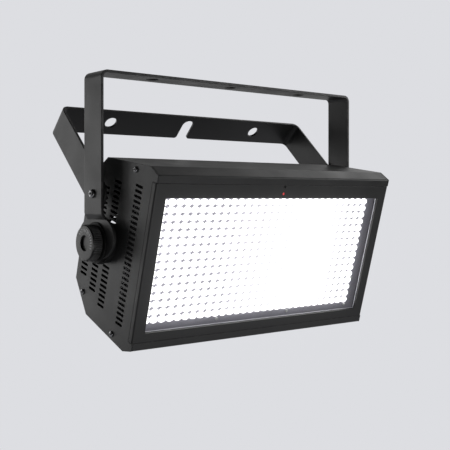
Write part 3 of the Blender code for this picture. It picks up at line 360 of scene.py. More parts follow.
def readMesh(thing, clean=False):   # the evaluated shape of an object, which is then removed
    scene.collection.objects.link(thing)
    graph = bpy.context.evaluated_depsgraph_get()
    mesh = bpy.data.meshes.new_from_object(thing.evaluated_get(graph))
    bpy.data.objects.remove(thing, do_unlink=True)
    if clean:
        form = bmesh.new()
        form.from_mesh(mesh)
        cleanUp(form, mesh)
    return mesh


def plate(loops, low, high, edge=softEdge, segments=2):   # a flat plate in x and y with rounded edges
    curve = bpy.data.curves.new("outline", "CURVE")
    curve.dimensions = "2D"
    curve.fill_mode = "BOTH"
    curve.extrude = (high - low) / 2 - edge
    curve.bevel_depth = edge
    curve.bevel_resolution = segments - 1
    for index, loop in enumerate(loops):
        drawn = shrink(loop, edge if index == 0 else -edge)
        spline = curve.splines.new("POLY")
        spline.points.add(len(drawn) - 1)
        spline.use_cyclic_u = True
        for point, (x, y) in zip(spline.points, drawn):
            point.co = (x, y, 0.0, 1.0)
    mesh = readMesh(bpy.data.objects.new("outline", curve), clean=True)
    bpy.data.curves.remove(curve)
    return placed(mesh, Matrix.Translation((0, 0, (low + high) / 2)))


def placed(mesh, matrix):
    mesh.transform(matrix)
    return mesh


def frontPlate(loops, uLow, uHigh, edge=softEdge):   # outlines in x and v
    return placed(plate(loops, uLow, uHigh, edge), faceForward)


def sidePlate(loops, xLow, xHigh, edge=softEdge):   # outlines in u and v
    return placed(plate([[(-u, v) for u, v in loop] for loop in loops], xLow, xHigh, edge), faceSide)


def lathe(profile, sides=48):   # a profile of radius and height turned about z
    form = bmesh.new()
    points = [form.verts.new((radius, 0.0, height)) for radius, height in profile]
    for first, second in zip(points, points[1:]):
        form.edges.new((first, second))
    if profile[0][0] > 0.0:
        form.edges.new((points[-1], points[0]))
    thing = bpy.data.objects.new("profile", meshFrom(form))
    screw = thing.modifiers.new("turn", "SCREW")
    screw.steps = screw.render_steps = sides
    screw.use_merge_vertices = True
    screw.merge_threshold = weld
    return readMesh(thing, clean=True)


def softBlock(low, high, edge, segments=1):
    low, high = Vector(low), Vector(high)
    form = bmesh.new()
    bmesh.ops.create_cube(form, size=1.0, matrix=Matrix.Translation((low + high) / 2)
                          @ Matrix.Diagonal((*(high - low), 1)))
    bmesh.ops.bevel(form, geom=form.edges[:], offset=edge, segments=segments, affect="EDGES",
                    profile=0.5)
    return meshFrom(form)


def plug(radius, low, high, edge, sides=40):   # a solid round piece along z, its top edge cut back
    return lathe([(0.0, high), (radius - edge, high), (radius, high - edge), (radius, low), (0.0, low)],
                 sides)


def upright(width, breadth, low, high, edge):   # a block that stands on the z axis
    return softBlock((-width / 2, -breadth / 2, low), (width / 2, breadth / 2, high), edge)


def rod(radius, low, high, sides):   # along z
    form = bmesh.new()
    bmesh.ops.create_cone(form, cap_ends=True, segments=sides, radius1=radius, radius2=radius,
                          depth=high - low, matrix=Matrix.Translation((0, 0, (low + high) / 2)))
    return meshFrom(form)


def joined(*meshes):
    form = bmesh.new()
    for mesh in meshes:
        form.from_mesh(mesh)
    return meshFrom(form)


def carved(mesh, cutter):
    thing = bpy.data.objects.new("carved", mesh)
    tool = addObject("cutter", cutter)
    step = thing.modifiers.new("cut", "BOOLEAN")
    step.operation = "DIFFERENCE"
    step.object = tool
    step.solver = "EXACT"
    result = readMesh(thing)
    bpy.data.objects.remove(tool, do_unlink=True)
    return result


def piece(name, mesh, material, body, replaces, sharp=32):
    mesh.materials.clear()
    mesh.materials.append(material)
    mesh.shade_smooth()
    mesh.set_sharp_from_angle(angle=radians(sharp))
    rough = bpy.data.objects.new("rough", mesh)
    rough.modifiers.new("flatFaces", "WEIGHTED_NORMAL").keep_sharp = True
    mesh = readMesh(rough)
    mesh.name = name
    thing = addObject(name, mesh)
    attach(thing, body)
    if replaces:
        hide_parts(*replaces)


def headPiece(name, mesh, material, replaces=(), body="head", sharp=32):
    piece(name, placed(mesh, headPlace), material, body, replaces, sharp)


def backPiece(name, mesh, spot, material, replaces=(), body="head"):
    headPiece(name, placed(mesh, faceBack(*spot)), material, replaces, body)


# Geometry Nodes trees for what repeats
def shapeTree(name, **sockets):
    inputs = {"Geometry": "Geometry", **sockets, "Material": "Material"}
    return groupTree("GeometryNodeTree", name, inputs.items(), [("Geometry", "Geometry")])


def finishTree(tree, start, end, geometry):
    real = addNode(tree, "GeometryNodeRealizeInstances", Geometry=geometry)
    paint = addNode(tree, "GeometryNodeSetMaterial", Geometry=real, Material=start["Material"])
    return finishGroup(tree, end, paint)


def scatter(tree, start, points, **links):
    shape = addNode(tree, "GeometryNodeObjectInfo", Object=start["Shape"]).node.outputs["Geometry"]
    return addNode(tree, "GeometryNodeInstanceOnPoints", Points=points, Instance=shape, **links)


def readPoint(tree, name, kind):
    return addNode(tree, "GeometryNodeInputNamedAttribute", Name=name, data_type=kind)


def aboutZ(tree, angle):
    return addNode(tree, "FunctionNodeAxisAngleToRotation", Axis=(0, 0, 1), Angle=angle)


def makeScatterTree():   # one shape on every point, its z along the point's aim
    tree, start, end = shapeTree("shapesOnPoints", Shape="Object", Size="Float", Turn="Float")
    aim = readPoint(tree, "aim", "FLOAT_VECTOR")
    align = addNode(tree, "FunctionNodeAlignRotationToVector", Vector=aim, axis="Z")
    spin = aboutZ(tree, times(tree, addNode(tree, "GeometryNodeInputIndex"), start["Turn"]))
    both = addNode(tree, "FunctionNodeRotateRotation", Rotation=align, Rotate_By=spin,
                   rotation_space="LOCAL")
    spread = scatter(tree, start, start["Geometry"], Rotation=both, Scale=start["Size"])
    return finishTree(tree, start, end, spread)


def makeGridTree():   # rows and columns of one shape in the x, y plane
    tree, start, end = shapeTree("gridOfShapes", Shape="Object", Columns="Int", Rows="Int", Width="Float",
                                 Height="Float")
    grid = addNode(tree, "GeometryNodeMeshGrid", Size_X=start["Width"], Size_Y=start["Height"],
                   Vertices_X=start["Columns"], Vertices_Y=start["Rows"])
    return finishTree(tree, start, end, scatter(tree, start, grid))


def makeRingTree():   # one shape repeated on an arc round z
    tree, start, end = shapeTree("ringOfShapes", Shape="Object", Count="Int", Radius="Float", First="Float",
                                 Step="Float")
    line = addNode(tree, "GeometryNodeMeshLine", Count=start["Count"], Offset=(0, 0, 0))
    angle = addNode(tree, "ShaderNodeMath", addNode(tree, "GeometryNodeInputIndex"), start["Step"],
                    start["First"], operation="MULTIPLY_ADD")
    turn = aboutZ(tree, angle)
    arm = addNode(tree, "ShaderNodeCombineXYZ", X=start["Radius"])
    swing = addNode(tree, "FunctionNodeRotateVector", Vector=arm, Rotation=turn)
    move = addNode(tree, "GeometryNodeSetPosition", Geometry=line, Position=swing)
    return finishTree(tree, start, end, scatter(tree, start, move, Rotation=turn))


def makeSlotTree():   # a round-ended slot outline on every point, stretched by the point's reach
    tree, start, end = shapeTree("slotOutlines", Radius="Float", Sides="Int")
    ring = addNode(tree, "GeometryNodeMeshCircle", Vertices=start["Sides"], Radius=start["Radius"])
    turn = addNode(tree, "ShaderNodeCombineXYZ", Z=addMath(tree, "DIVIDE", pi, start["Sides"]))
    turned = addNode(tree, "GeometryNodeTransform", Geometry=ring, Rotation=turn)
    place = addNode(tree, "ShaderNodeSeparateXYZ", addNode(tree, "GeometryNodeInputPosition"))
    side = addMath(tree, "SIGN", place)
    keep = addNode(tree, "GeometryNodeStoreNamedAttribute", Geometry=turned, Name="side", Value=side,
                   data_type="FLOAT", domain="POINT")
    spread = addNode(tree, "GeometryNodeInstanceOnPoints", Points=start["Geometry"], Instance=keep)
    real = addNode(tree, "GeometryNodeRealizeInstances", Geometry=spread)
    push = times(tree, readPoint(tree, "side", "FLOAT"), readPoint(tree, "reach", "FLOAT"))
    shift = addNode(tree, "ShaderNodeCombineXYZ", X=push)
    move = addNode(tree, "GeometryNodeSetPosition", Geometry=real, Offset=shift)
    return finishTree(tree, start, end, move)


scatterTree = makeScatterTree()
gridTree = makeGridTree()
ringTree = makeRingTree()
slotTree = makeSlotTree()


def grow(tree, values, material, shapeMesh=None, base=None):   # runs a tree and reads its plain mesh
    values = {**values, "Material": material}
    if shapeMesh:
        values["Shape"] = addObject("shape", shapeMesh)
    host = bpy.data.objects.new("host", base or bpy.data.meshes.new("empty"))
    modifier = host.modifiers.new("nodes", "NODES")
    modifier.node_group = tree
    for item in tree.interface.items_tree:
        if item.item_type == "SOCKET" and item.in_out == "INPUT" and item.name in values:
            modifier[item.identifier] = values[item.name]
    mesh = readMesh(host)
    if shapeMesh:
        bpy.data.objects.remove(values["Shape"], do_unlink=True)
    return mesh


def ringOf(shape, material, count, radius, first=0.0, step=None):   # spread all round if no step is given
    step = tau / count if step is None else step
    return grow(ringTree, {"Count": count, "Radius": radius, "First": first, "Step": step}, material, shape)


def pointCloud(places, name, kind):   # points that carry one value each for a tree
    form = bmesh.new()
    for position, _ in places:
        form.verts.new(position)
    mesh = meshFrom(form)
    layer = mesh.attributes.new(name, kind, "POINT")
    for item, (_, value) in zip(layer.data, places):
        setattr(item, "vector" if kind == "FLOAT_VECTOR" else "value", value)
    return mesh


def slotLoops(places, radius, sides=12):   # outlines of the slots at (x, y, half the straight run)
    cloud = pointCloud([((x, y, 0.0), reach) for x, y, reach in places], "reach", "FLOAT")
    full = radius / cos(pi / sides)
    mesh = grow(slotTree, {"Radius": full, "Sides": sides}, clampBlackPaintedShade, base=cloud)
    points = [(v.co.x, v.co.y) for v in mesh.vertices]
    return [points[i:i + sides] for i in range(0, len(points), sides)]


# Fasteners: a low domed head with a six-sided recess. Shares are of the head's radius or height
fastener = {"steps": 6, "bulge": 0.85, "rim": 0.28, "sides": 20, "socket": 0.36, "socketFloor": 0.35,
            "turn": 1.1}


def panHead(radius, height, s):
    profile = [(0.0, height)]
    for step in range(1, s.steps + 1):
        angle = radians(90 * step / s.steps)
        profile.append((radius * sin(angle) ** s.bulge, height * (s.rim + (1 - s.rim) * cos(angle))))
    profile += [(radius, 0.0), (0.0, 0.0)]
    recess = rod(s.socket * radius, height * s.socketFloor, height * 2, sides=6)
    return carved(lathe(profile, s.sides), recess)


def screwSet(name, places, head, body, replaces=(), slot="zinc_steel", material=darkZinc):
    mesh = grow(scatterTree, {"Size": 1.0, "Turn": fastener["turn"]}, material,
                panHead(*head, named(fastener)), pointCloud(places, "aim", "FLOAT_VECTOR"))
    piece(name, mesh, material, body, replaces)


def headScrews(name, spots, way, head, **choices):   # spots and their common way in x, u and v
    aim = (headPlace.to_3x3() @ Vector((way[0], -way[1], way[2]))).normalized()
    screwSet(name, [(headPlace @ Vector((x, -u, v)), aim) for x, u, v in spots], head, "head", **choices)


def corners(x, u, v):
    return [(sx * x, u, sz * v) for sx in (-1, 1) for sz in (-1, 1)]


# Bent sheet: a flat pattern with rounded edges, cut at the bends and folded along a line
def bentLine(points, radii):
    run, legs = [], []
    along = reach = 0.0
    for index in range(len(points) - 1):
        step = Vector(points[index + 1]) - Vector(points[index])
        legs.append(along - reach)
        sweep = after = 0.0
        if index < len(points) - 2:
            following = Vector(points[index + 2]) - Vector(points[index + 1])
            sweep = atan2(step.x * following.y - step.y * following.x, step.dot(following))
            after = radii[index] * tan(abs(sweep) / 2)
        run.append((step.length - reach - after, 0.0))
        if sweep:
            run.append((radii[index] * abs(sweep), sweep))
        along = sum(length for length, _ in run)
        reach = after
    first = Vector(points[1]) - Vector(points[0])
    return {"start": points[0], "heading": atan2(first.y, first.x), "run": run, "legs": legs,
            "length": along}


def follow(place, heading, bend, length):   # where a straight or evenly bent stretch ends
    if not bend:
        return place + Vector((cos(heading), sin(heading))) * length, heading
    turned = heading + bend * length
    return place + Vector((sin(turned) - sin(heading), cos(heading) - cos(turned))) / bend, turned


def fold(mesh, line, facet=9, near=1e-7):   # a bend has a flat strip for every 9 degrees or so
    form = bmesh.new()
    form.from_mesh(mesh)
    cuts, spans = [], []
    along, place, heading = 0.0, Vector(line["start"]), line["heading"]
    for length, sweep in line["run"]:
        bend = sweep / length if sweep else 0.0
        spans.append((along, along + length, place, heading, bend))
        if sweep:
            steps = max(2, round(abs(degrees(sweep)) / facet))
            cuts += [along + length * step / steps for step in range(steps + 1)]
        place, heading = follow(place, heading, bend, length)
        along += length
    for mark in cuts:
        for sign in (1, -1):
            bmesh.ops.bisect_plane(form, geom=form.verts[:] + form.edges[:] + form.faces[:],
                                   plane_co=(sign * mark, 0, 0), plane_no=(1, 0, 0), dist=near)
    for vert in form.verts:
        x, y, z = vert.co
        low, _, origin, angle, bend = next((s for s in spans if abs(x) <= s[1] + near), spans[-1])
        spot, turned = follow(origin, angle, bend, abs(x) - low)
        spot += Vector((-sin(turned), cos(turned))) * z
        vert.co = (copysign(spot.x, x), y, spot.y)
    return cleanUp(form, mesh)


frontYoke = {"half": 0.18825, "thickness": 0.0030, "bend": 0.0080, "width": 0.0353, "joggle": 0.0040,
             "joggleTop": 0.0310, "joggleBottom": 0.0250, "joggleBend": 0.0045, "padHalfWidth": 0.0360,
             "padHalfHeight": 0.0237, "padRise": 0.0056, "padSteps": 48, "holes": 0.112,
             "holeRadius": 0.0070, "studHole": 0.0043, "screwHole": 0.0033, "edge": 0.00045}


def makeFrontYoke(s):
    mid = s.thickness / 2
    outer = s.half - mid
    foot = outer - s.joggle
    line = bentLine([(0.0, -mid), (outer, -mid), (outer, tiltAxis + s.joggleTop),
                     (foot, tiltAxis + s.joggleBottom), (foot, tiltAxis - s.padHalfHeight)],
                    [s.bend - mid, s.joggleBend, s.joggleBend])

    def onPad(z):
        return line["legs"][3] + tiltAxis + s.joggleBottom - z

    padCentre = onPad(tiltAxis + s.padRise)
    reach = pi - asin(s.width / 2 / s.padHalfWidth)
    loop = []
    for sign in (1, -1):
        for step in range(s.padSteps + 1):
            angle = -reach + 2 * reach * step / s.padSteps
            loop.append((sign * (padCentre + s.padHalfHeight * cos(angle)),
                         sign * s.padHalfWidth * sin(angle)))
    loops = [loop] + [circle(s.holeRadius, (x, 0)) for x in (-s.holes, 0, s.holes)]
    for sign in (1, -1):
        loops.append(circle(s.studHole, (sign * onPad(tiltAxis), 0), sides=24))
        loops.append(circle(s.screwHole, (sign * (line["legs"][1] - mid - foldAxis), 0), sides=24))
    pattern = plate(loops, -mid, mid, s.edge, segments=3)
    piece("front_yoke_strap", fold(pattern, line), yokePaint, "front_yoke", ["front_yoke"])


rearYoke = {"half": 0.18415, "thickness": 0.0030, "bend": 0.0090, "width": 0.0353, "reach": 0.1250,
            "holes": 0.112, "holeRadius": 0.0075, "slotHalf": 0.0080, "slotDepth": 0.0285, "mouth": 0.0035,
            "screwHole": 0.0033, "edge": 0.00045}


def makeRearYoke(s):
    mid = s.thickness / 2
    half = s.width / 2
    line = bentLine([(0.0, s.reach - mid), (s.half - mid, s.reach - mid), (s.half - mid, -half)],
                    [s.bend - mid])
    pivot = line["legs"][1] + s.reach - mid
    end = arcPoints((pivot, 0), half, range(-90, 91, 6))
    notch = arcPoints((s.slotHalf + s.mouth, half - s.mouth), s.mouth, range(90, 181, 15))
    notch += arcPoints((0, half - s.slotDepth + s.slotHalf), s.slotHalf, [-90 * i / 8 for i in range(9)])
    notch += [(-x, y) for x, y in notch[-2::-1]]
    loops = [end + notch + [(-x, -y) for x, y in end]]
    for sign in (1, -1):
        loops.append(circle(s.holeRadius, (sign * s.holes, 0)))
        loops.append(circle(s.screwHole, (sign * pivot, 0), sides=24))
    mesh = placed(fold(plate(loops, -mid, mid, s.edge, segments=3), line), foldPlace)
    piece("rear_yoke_strap", mesh, yokePaint, "rear_yoke", ["rear_yoke"])


pivotScrew = {"seat": 0.18855, "head": (0.0048, 0.0030), "shank": 0.0030, "overlap": 0.0002, "tail": 0.0015,
              "spacerFace": 0.18445, "spacerThickness": 0.0005, "spacerRadius": 0.0090,
              "spacerBore": 0.0032, "nutSeat": 0.17635, "nutHeight": 0.0045, "nutRadius": 0.0058,
              "nutBore": 0.00305, "nutEdge": 0.0004}


def makePivots(s):
    for side, label in bothSides:
        screwSet(f"pivot_screw_head_{label}", [((side * s.seat, 0, foldAxis), (side, 0, 0))], s.head,
                 "front_yoke", [f"pivot_screw_{label}"])
        stand = Matrix.Translation((0, 0, foldAxis)) @ faceOut(side)
        shank = rod(s.shank, s.nutSeat - s.tail, s.seat + s.overlap, sides=24)
        spacerTop = s.spacerFace + s.spacerThickness
        spacer = lathe([(s.spacerRadius, spacerTop), (s.spacerRadius, s.spacerFace),
                        (s.spacerBore, s.spacerFace), (s.spacerBore, spacerTop)], sides=40)
        nut = plate([circle(s.nutRadius, sides=6), circle(s.nutBore, sides=24)], s.nutSeat,
                    s.nutSeat + s.nutHeight, s.nutEdge)
        piece(f"pivot_shank_{label}", placed(shank, stand), zincPlate, "front_yoke", ())
        piece(f"pivot_spacer_{label}", placed(spacer, stand), greyPlastic, "front_yoke",
              [f"spacer_washer_{label}"])
        piece(f"pivot_hex_nut_{label}", placed(nut, stand), zincPlate, "front_yoke",
              [f"pivot_nut_{label}"])


makeFrontYoke(named(frontYoke))
makeRearYoke(named(rearYoke))
makePivots(named(pivotScrew))
print("yokes made")

# Casing outline from the front lip to the back
casing = {"front": 0.0764, "back": 0.0504, "faceHalf": 0.0930, "crownSetback": 0.0149, "crownHalf": 0.0988,
          "shoulderBack": 0.0190, "shoulderHalf": 0.0890, "backHalf": 0.0570, "lip": 0.0082,
          "sheet": 0.0015, "crease": 0.0024, "edge": 0.0003}
shell = {"half": 0.1708, "openWidth": 0.1150, "openHeight": 0.0860, "openCorner": 0.0020,
         "fanOffset": 0.120, "fanScrew": 0.03575, "fanScrewHole": 0.0019, "grilleRadius": 0.0360,
         "grilleSlot": 0.0036, "grillePitch": 0.0072}
fanScrews = [(side * shell["fanOffset"] + x, v) for side, _ in bothSides
             for x, _, v in corners(shell["fanScrew"], 0.0, shell["fanScrew"])]


def makeShell(c, s):
    mid = c.sheet / 2
    lip = c.faceHalf - c.lip
    outer = [(0.0, c.back), (c.backHalf, c.back), (c.shoulderHalf, c.shoulderBack),
             (c.crownHalf, c.crownSetback - c.front), (c.faceHalf, -c.front), (lip, -c.front)]
    closed = outer + [(-x, z) for x, z in outer[:0:-1]]
    inner = shrink(closed, mid)[:6]
    inner[0], inner[5] = (0.0, c.back - mid), (lip, mid - c.front)
    line = bentLine(inner, [c.crease - mid] * 4)
    loops = [rectangle(2 * line["length"], 2 * s.half), rounded(s.openHeight, s.openWidth, s.openCorner)]
    places = []
    rows = int(s.grilleRadius / s.grillePitch)
    for side, _ in bothSides:
        for row in range(-rows, rows + 1):
            chord = sqrt(max(s.grilleRadius ** 2 - (row * s.grillePitch) ** 2, 0.0))
            reach = chord - s.grilleSlot
            if reach > s.grilleSlot / 2:
                places.append((side * s.fanOffset, row * s.grillePitch, reach))
    loops += [[(y, x) for x, y in loop] for loop in slotLoops(places, s.grilleSlot / 2)]
    loops += [circle(s.fanScrewHole, (v, x), sides=16) for x, v in fanScrews]
    mesh = placed(fold(plate(loops, -mid, mid, c.edge), line), shellFold)
    headPiece("casing_shell", mesh, casingPaint, ["housing_shell"])


sidePanel = {"slotLength": 0.0132, "slotHeight": 0.0028, "pitch": 0.0055, "clear": 0.0244,
             "columns": ((0.0475, 28), (0.0080, 26), (-0.0135, 22), (-0.0355, 18)), "hubHole": 0.0093,
             "flange": 0.0072, "corner": 0.0008, "edge": 0.00025, "screwHole": 0.0018,
             "screws": ((0.0373, 0.0893), (-0.0316, 0.0673)), "screwHead": (0.0032, 0.0020), "lift": 0.0002}
panelScrews = [(u, sign * v) for u, v in sidePanel["screws"] for sign in (1, -1)]


def makeSidePanels(c, s):
    lip = c.faceHalf - c.lip
    half = [(c.front - s.flange, lip), (c.front, lip), (c.front, c.faceHalf),
            (c.front - c.crownSetback, c.crownHalf), (-c.shoulderBack, c.shoulderHalf),
            (-c.back, c.backHalf)]
    outline = roundCorners(half + [(u, -v) for u, v in half[::-1]], s.corner)
    places = []
    for u, count in s.columns:
        for index in range(count):
            v = (index - (count - 1) / 2) * s.pitch
            if hypot(max(abs(u) - s.slotLength / 2, 0.0), v) > s.clear:
                places.append((u, v, (s.slotLength - s.slotHeight) / 2))
    loops = [outline] + slotLoops(places, s.slotHeight / 2)
    loops += [circle(s.screwHole, place, sides=16) for place in panelScrews] + [circle(s.hubHole, sides=40)]
    for side, label in bothSides:
        low, high = sorted((side * panelInner, side * panelFace))
        headPiece(f"casing_side_{label}", sidePlate(loops, low, high, s.edge), casingPaint,
                  [f"side_panel_{label}"])
        spots = [(side * (panelFace + s.lift), u, v) for u, v in panelScrews]
        names = [f"panel_screw_{label}_{end}" for end in ("front_top", "front_low", "rear_top", "rear_low")]
        headScrews(f"panel_screws_{label}", spots, (side, 0, 0), s.screwHead, replaces=names)


makeShell(named(casing), named(shell))
makeSidePanels(named(casing), named(sidePanel))
print("casing made")

bezel = {"half": 0.1726, "halfHeight": 0.0845, "sheet": 0.0015, "bend": 0.0020, "flange": 0.0069,
         "openHalf": 0.1583, "openTop": 0.0696, "openBottom": 0.0744, "openCorner": 0.0012,
         "eyeHoles": (0.0825, 0.0746), "eyeHole": 0.0016}
openCentre = (bezel["openTop"] - bezel["openBottom"]) / 2


def makeBezel(s):
    mid = s.sheet / 2
    line = bentLine([(0.0, faceFront - mid), (s.half - mid, faceFront - mid),
                     (s.half - mid, faceFront - s.flange)], [s.bend - mid])
    loops = [rectangle(2 * line["length"], 2 * s.halfHeight),
             rounded(2 * s.openHalf, s.openTop + s.openBottom, s.openCorner, (0, openCentre))]
    loops += [circle(s.eyeHole, (0, height), sides=20) for height in s.eyeHoles]
    mesh = placed(fold(plate(loops, -mid, mid), line), faceForward)
    headPiece("bezel_sheet", mesh, bezelPaint, ["front_bezel"])


window = {"width": 0.3252, "height": 0.1488, "front": 0.0728, "thickness": 0.0020, "edge": 0.0002}
retainer = {"half": 0.17085, "halfHeight": 0.0842, "holeHalf": 0.1624, "holeTop": 0.0704,
            "holeBottom": 0.0757, "front": 0.0705, "sheet": 0.0015, "edge": 0.0001, "band": 0.0003,
            "bandSink": 0.0001, "bandEdge": 0.00005, "screwX": 0.1649, "screwV": 0.0480,
            "screwHead": (0.0024, 0.0012), "lift": 0.0001}


def makeWindow(s, r):
    loops = [rectangle(s.width, s.height, (0, openCentre))]
    headPiece("window_pane", frontPlate(loops, s.front - s.thickness, s.front, s.edge), windowGlass,
              ["window"])
    middle = (0, (r.holeTop - r.holeBottom) / 2)
    width, height = 2 * r.holeHalf, r.holeTop + r.holeBottom
    back = r.front - r.sheet
    hole = rectangle(width + 2 * r.band, height + 2 * r.band, middle)
    sheet = frontPlate([rectangle(2 * r.half, 2 * r.halfHeight), hole], back, r.front, r.edge)
    headPiece("retainer_frame", sheet, bezelPaint, ["window_retainer"])
    # a thin pale band round the retainer's hole: a painted highlight of the emitters' light on its inner
    # edge
    band = frontPlate([hole, rectangle(width, height, middle)], back, r.front - r.bandSink, r.bandEdge)
    headPiece("retainer_edge", band, paintedHighlightEdge)
    spots = [(sx * r.screwX, back - r.lift, v) for sx in (-1, 1) for v in (-r.screwV, 0.0, r.screwV)]
    headScrews("retainer_screws", spots, (0, -1, 0), r.screwHead)


eyes = {"radius": 0.0014, "dome": 0.0006, "sink": 0.0016, "back": 0.0707, "sides": 24}


def makeEyes(s):   # the infrared eye is set back and the indicator is flush
    for name, node, height, sink, material, slot in (
            ("infrared_eye", "ir_sensor_window", bezel["eyeHoles"][0], s.sink, lensDark, "dark_lens"),
            ("indicator_dome", "indicator_lens", bezel["eyeHoles"][1], 0.0, lensRed, "red_lens")):
        rim = faceFront - s.dome - sink
        profile = [(s.radius * sin(radians(a)), rim + s.dome * cos(radians(a))) for a in range(0, 91, 15)]
        profile += [(s.radius, s.back), (0.0, s.back)]
        stand = Matrix.Translation((0, 0, height)) @ Matrix.Rotation(pi / 2, 4, "X")
        headPiece(name, placed(lathe(profile, s.sides), stand), material, [node])


lightEngine = {"columns": 30, "rows": 16, "pitchX": 0.010360, "pitchZ": 0.00856, "halfWidth": 0.0048,
               "halfHeight": 0.00375, "top": 0.0649, "height": 0.0030, "wall": 0.0009,
               "domeAngles": (22, 45, 68, 90), "domeSides": 16, "board": 0.0016, "boardHalf": 0.1695,
               "boardLow": -0.0799, "boardHigh": 0.0751, "boardCorner": 0.002, "boardEdge": 0.0002,
               "screwXs": (0.0533, 0.1531), "screwVs": (-0.0736, 0.0688), "endScrewX": 0.1564,
               "endScrewVs": (0.034, -0.038), "screwHead": (0.0021, 0.0012)}


def makeLightEngine(s):
    front = s.top - s.height
    middle = (s.boardLow + s.boardHigh) / 2
    outline = rounded(2 * s.boardHalf, s.boardHigh - s.boardLow, s.boardCorner, (0, middle))
    headPiece("emitter_board", frontPlate([outline], front - s.board, front, s.boardEdge), boardGreyPaintedGlow,
              ["led_board"])
    profile = [(0.0, s.height)]
    profile += [(sin(radians(a)), s.wall + (s.height - s.wall) * cos(radians(a))) for a in s.domeAngles]
    profile += [(1.0, 0.0), (0.0, 0.0)]
    dome = placed(lathe(profile, s.domeSides), Matrix.Diagonal((s.halfWidth, s.halfHeight, 1, 1)))
    domes = grow(gridTree, {"Columns": s.columns, "Rows": s.rows, "Width": (s.columns - 1) * s.pitchX,
                            "Height": (s.rows - 1) * s.pitchZ}, ledDome, dome)
    domes.transform(faceForward @ Matrix.Translation((0, openCentre, front)))
    headPiece("emitter_domes", domes, ledDome, (), sharp=60)
    spots = [(sx * x, front, v) for sx in (-1, 1) for x in s.screwXs for v in s.screwVs]
    spots += [(sx * s.endScrewX, front, v) for sx in (-1, 1) for v in s.endScrewVs]
    headScrews("board_screws", spots, (0, 1, 0), s.screwHead, slot="grey_plastic", material=screwWhite)


makeBezel(named(bezel))
makeWindow(named(window), named(retainer))
makeEyes(named(eyes))
makeLightEngine(named(lightEngine))
print("front made")

clamp = {"hubRadius": 0.0220, "hubInner": 0.1729, "hubOuter": 0.17765, "hubRound": 0.0008, "spigot": 0.0090,
         "spigotDepth": 0.0015, "stud": 0.0043, "padRadius": 0.0230, "padInner": 0.17795,
         "padOuter": 0.18095, "washerRadius": 0.0220, "washerInner": 0.18455, "washerOuter": 0.18595}
knob = {"inner": 0.18625, "outer": 0.19832, "sides": 72, "body": 0.0184, "lead": 0.0010, "rim": 0.0014,
        "face": 0.0172, "shoulder": (0.0008, 0.0002), "recess": 0.0080, "recessRound": 0.0005,
        "recessDepth": 0.0022, "ridges": 60, "ridge": 0.0010, "ridgeTop": 0.0194, "ridgeRoot": 0.0010,
        "ridgeStart": 0.0012, "ridgeEdge": 0.00022, "studEnd": 0.1611, "studRadius": 0.0040,
        "studOverlap": 0.0002, "ticks": 14, "firstTick": 60, "tickStep": 12.0, "tickRadius": 0.0136,
        "tickLength": 0.0034, "tickWidth": 0.0011, "tickHeight": 0.0001, "tickEdge": 0.00004}


def washer(outer, inner, low, high, edge=softEdge):
    return lathe([(outer - edge, high), (outer, high - edge), (outer, low + edge), (outer - edge, low),
                  (inner, low), (inner, high)])


def makeClamps(c, s):
    floor, rim = s.outer - s.recessDepth, s.outer - s.rim
    spigotEnd = panelInner - c.spigotDepth
    for side, label in bothSides:
        turn = faceOut(side)
        hub = lathe([(c.hubRadius - c.hubRound, c.hubOuter), (c.hubRadius, c.hubOuter - c.hubRound),
                     (c.hubRadius, c.hubInner), (c.spigot, c.hubInner), (c.spigot, spigotEnd),
                     (c.stud, spigotEnd), (c.stud, c.hubOuter)], sides=56)
        headPiece(f"hub_{label}", placed(hub, turn), clampBlackPaintedShade, [f"tilt_hub_{label}"])
        pad = washer(c.padRadius, c.stud, c.padInner, c.padOuter)
        headPiece(f"friction_pad_{label}", placed(pad, turn), rubberBlack, [f"friction_washer_{label}"])
        ring = washer(c.washerRadius, c.stud, c.washerInner, c.washerOuter)
        headPiece(f"clamp_washer_{label}", placed(ring, turn), clampBlackPaintedShade, [f"knob_washer_{label}"],
                  body=f"washer_{label}")
        grip = lathe([(0.0, s.inner), (s.face, s.inner), (s.body, s.inner + s.lead), (s.body, rim),
                      (s.face + s.shoulder[0], s.outer - s.shoulder[1]), (s.face, s.outer),
                      (s.recess + s.recessRound, s.outer), (s.recess, s.outer - s.recessRound),
                      (s.recess, floor), (0.0, floor)], s.sides)
        ridge = softBlock((-s.ridgeRoot, -s.ridge / 2, s.inner + s.ridgeStart),
                          (s.ridgeTop - s.body, s.ridge / 2, rim), s.ridgeEdge)
        # the ridges take the lighter painted-sheen copy of the knob's plastic
        ridges = ringOf(ridge, knobRidgePaintedSheen, s.ridges, s.body)
        stud = rod(s.studRadius, s.studEnd, s.inner + s.studOverlap, sides=28)
        tick = upright(s.tickLength, s.tickWidth, s.outer - s.tickHeight, s.outer + s.tickHeight, s.tickEdge)
        first = radians(s.firstTick if side < 0 else s.firstTick + 180)   # ten o'clock, seen from outside
        ticks = ringOf(tick, tickPaint, s.ticks, s.tickRadius, first, -radians(s.tickStep))
        for name, mesh, material, replaces, slot in (
                ("grip", grip, knobPlastic, [f"tilt_knob_{label}"], "black_plastic"),
                ("ridges", ridges, knobRidgePaintedSheen, (), "black_plastic"),
                ("stud", stud, zincPlate, (), "zinc_steel"),
                ("ticks", ticks, tickPaint, (), "black_plastic")):
            headPiece(f"knob_{name}_{label}", placed(mesh, turn), material, replaces, f"knob_{label}")


makeClamps(named(clamp), named(knob))
print("clamps made")

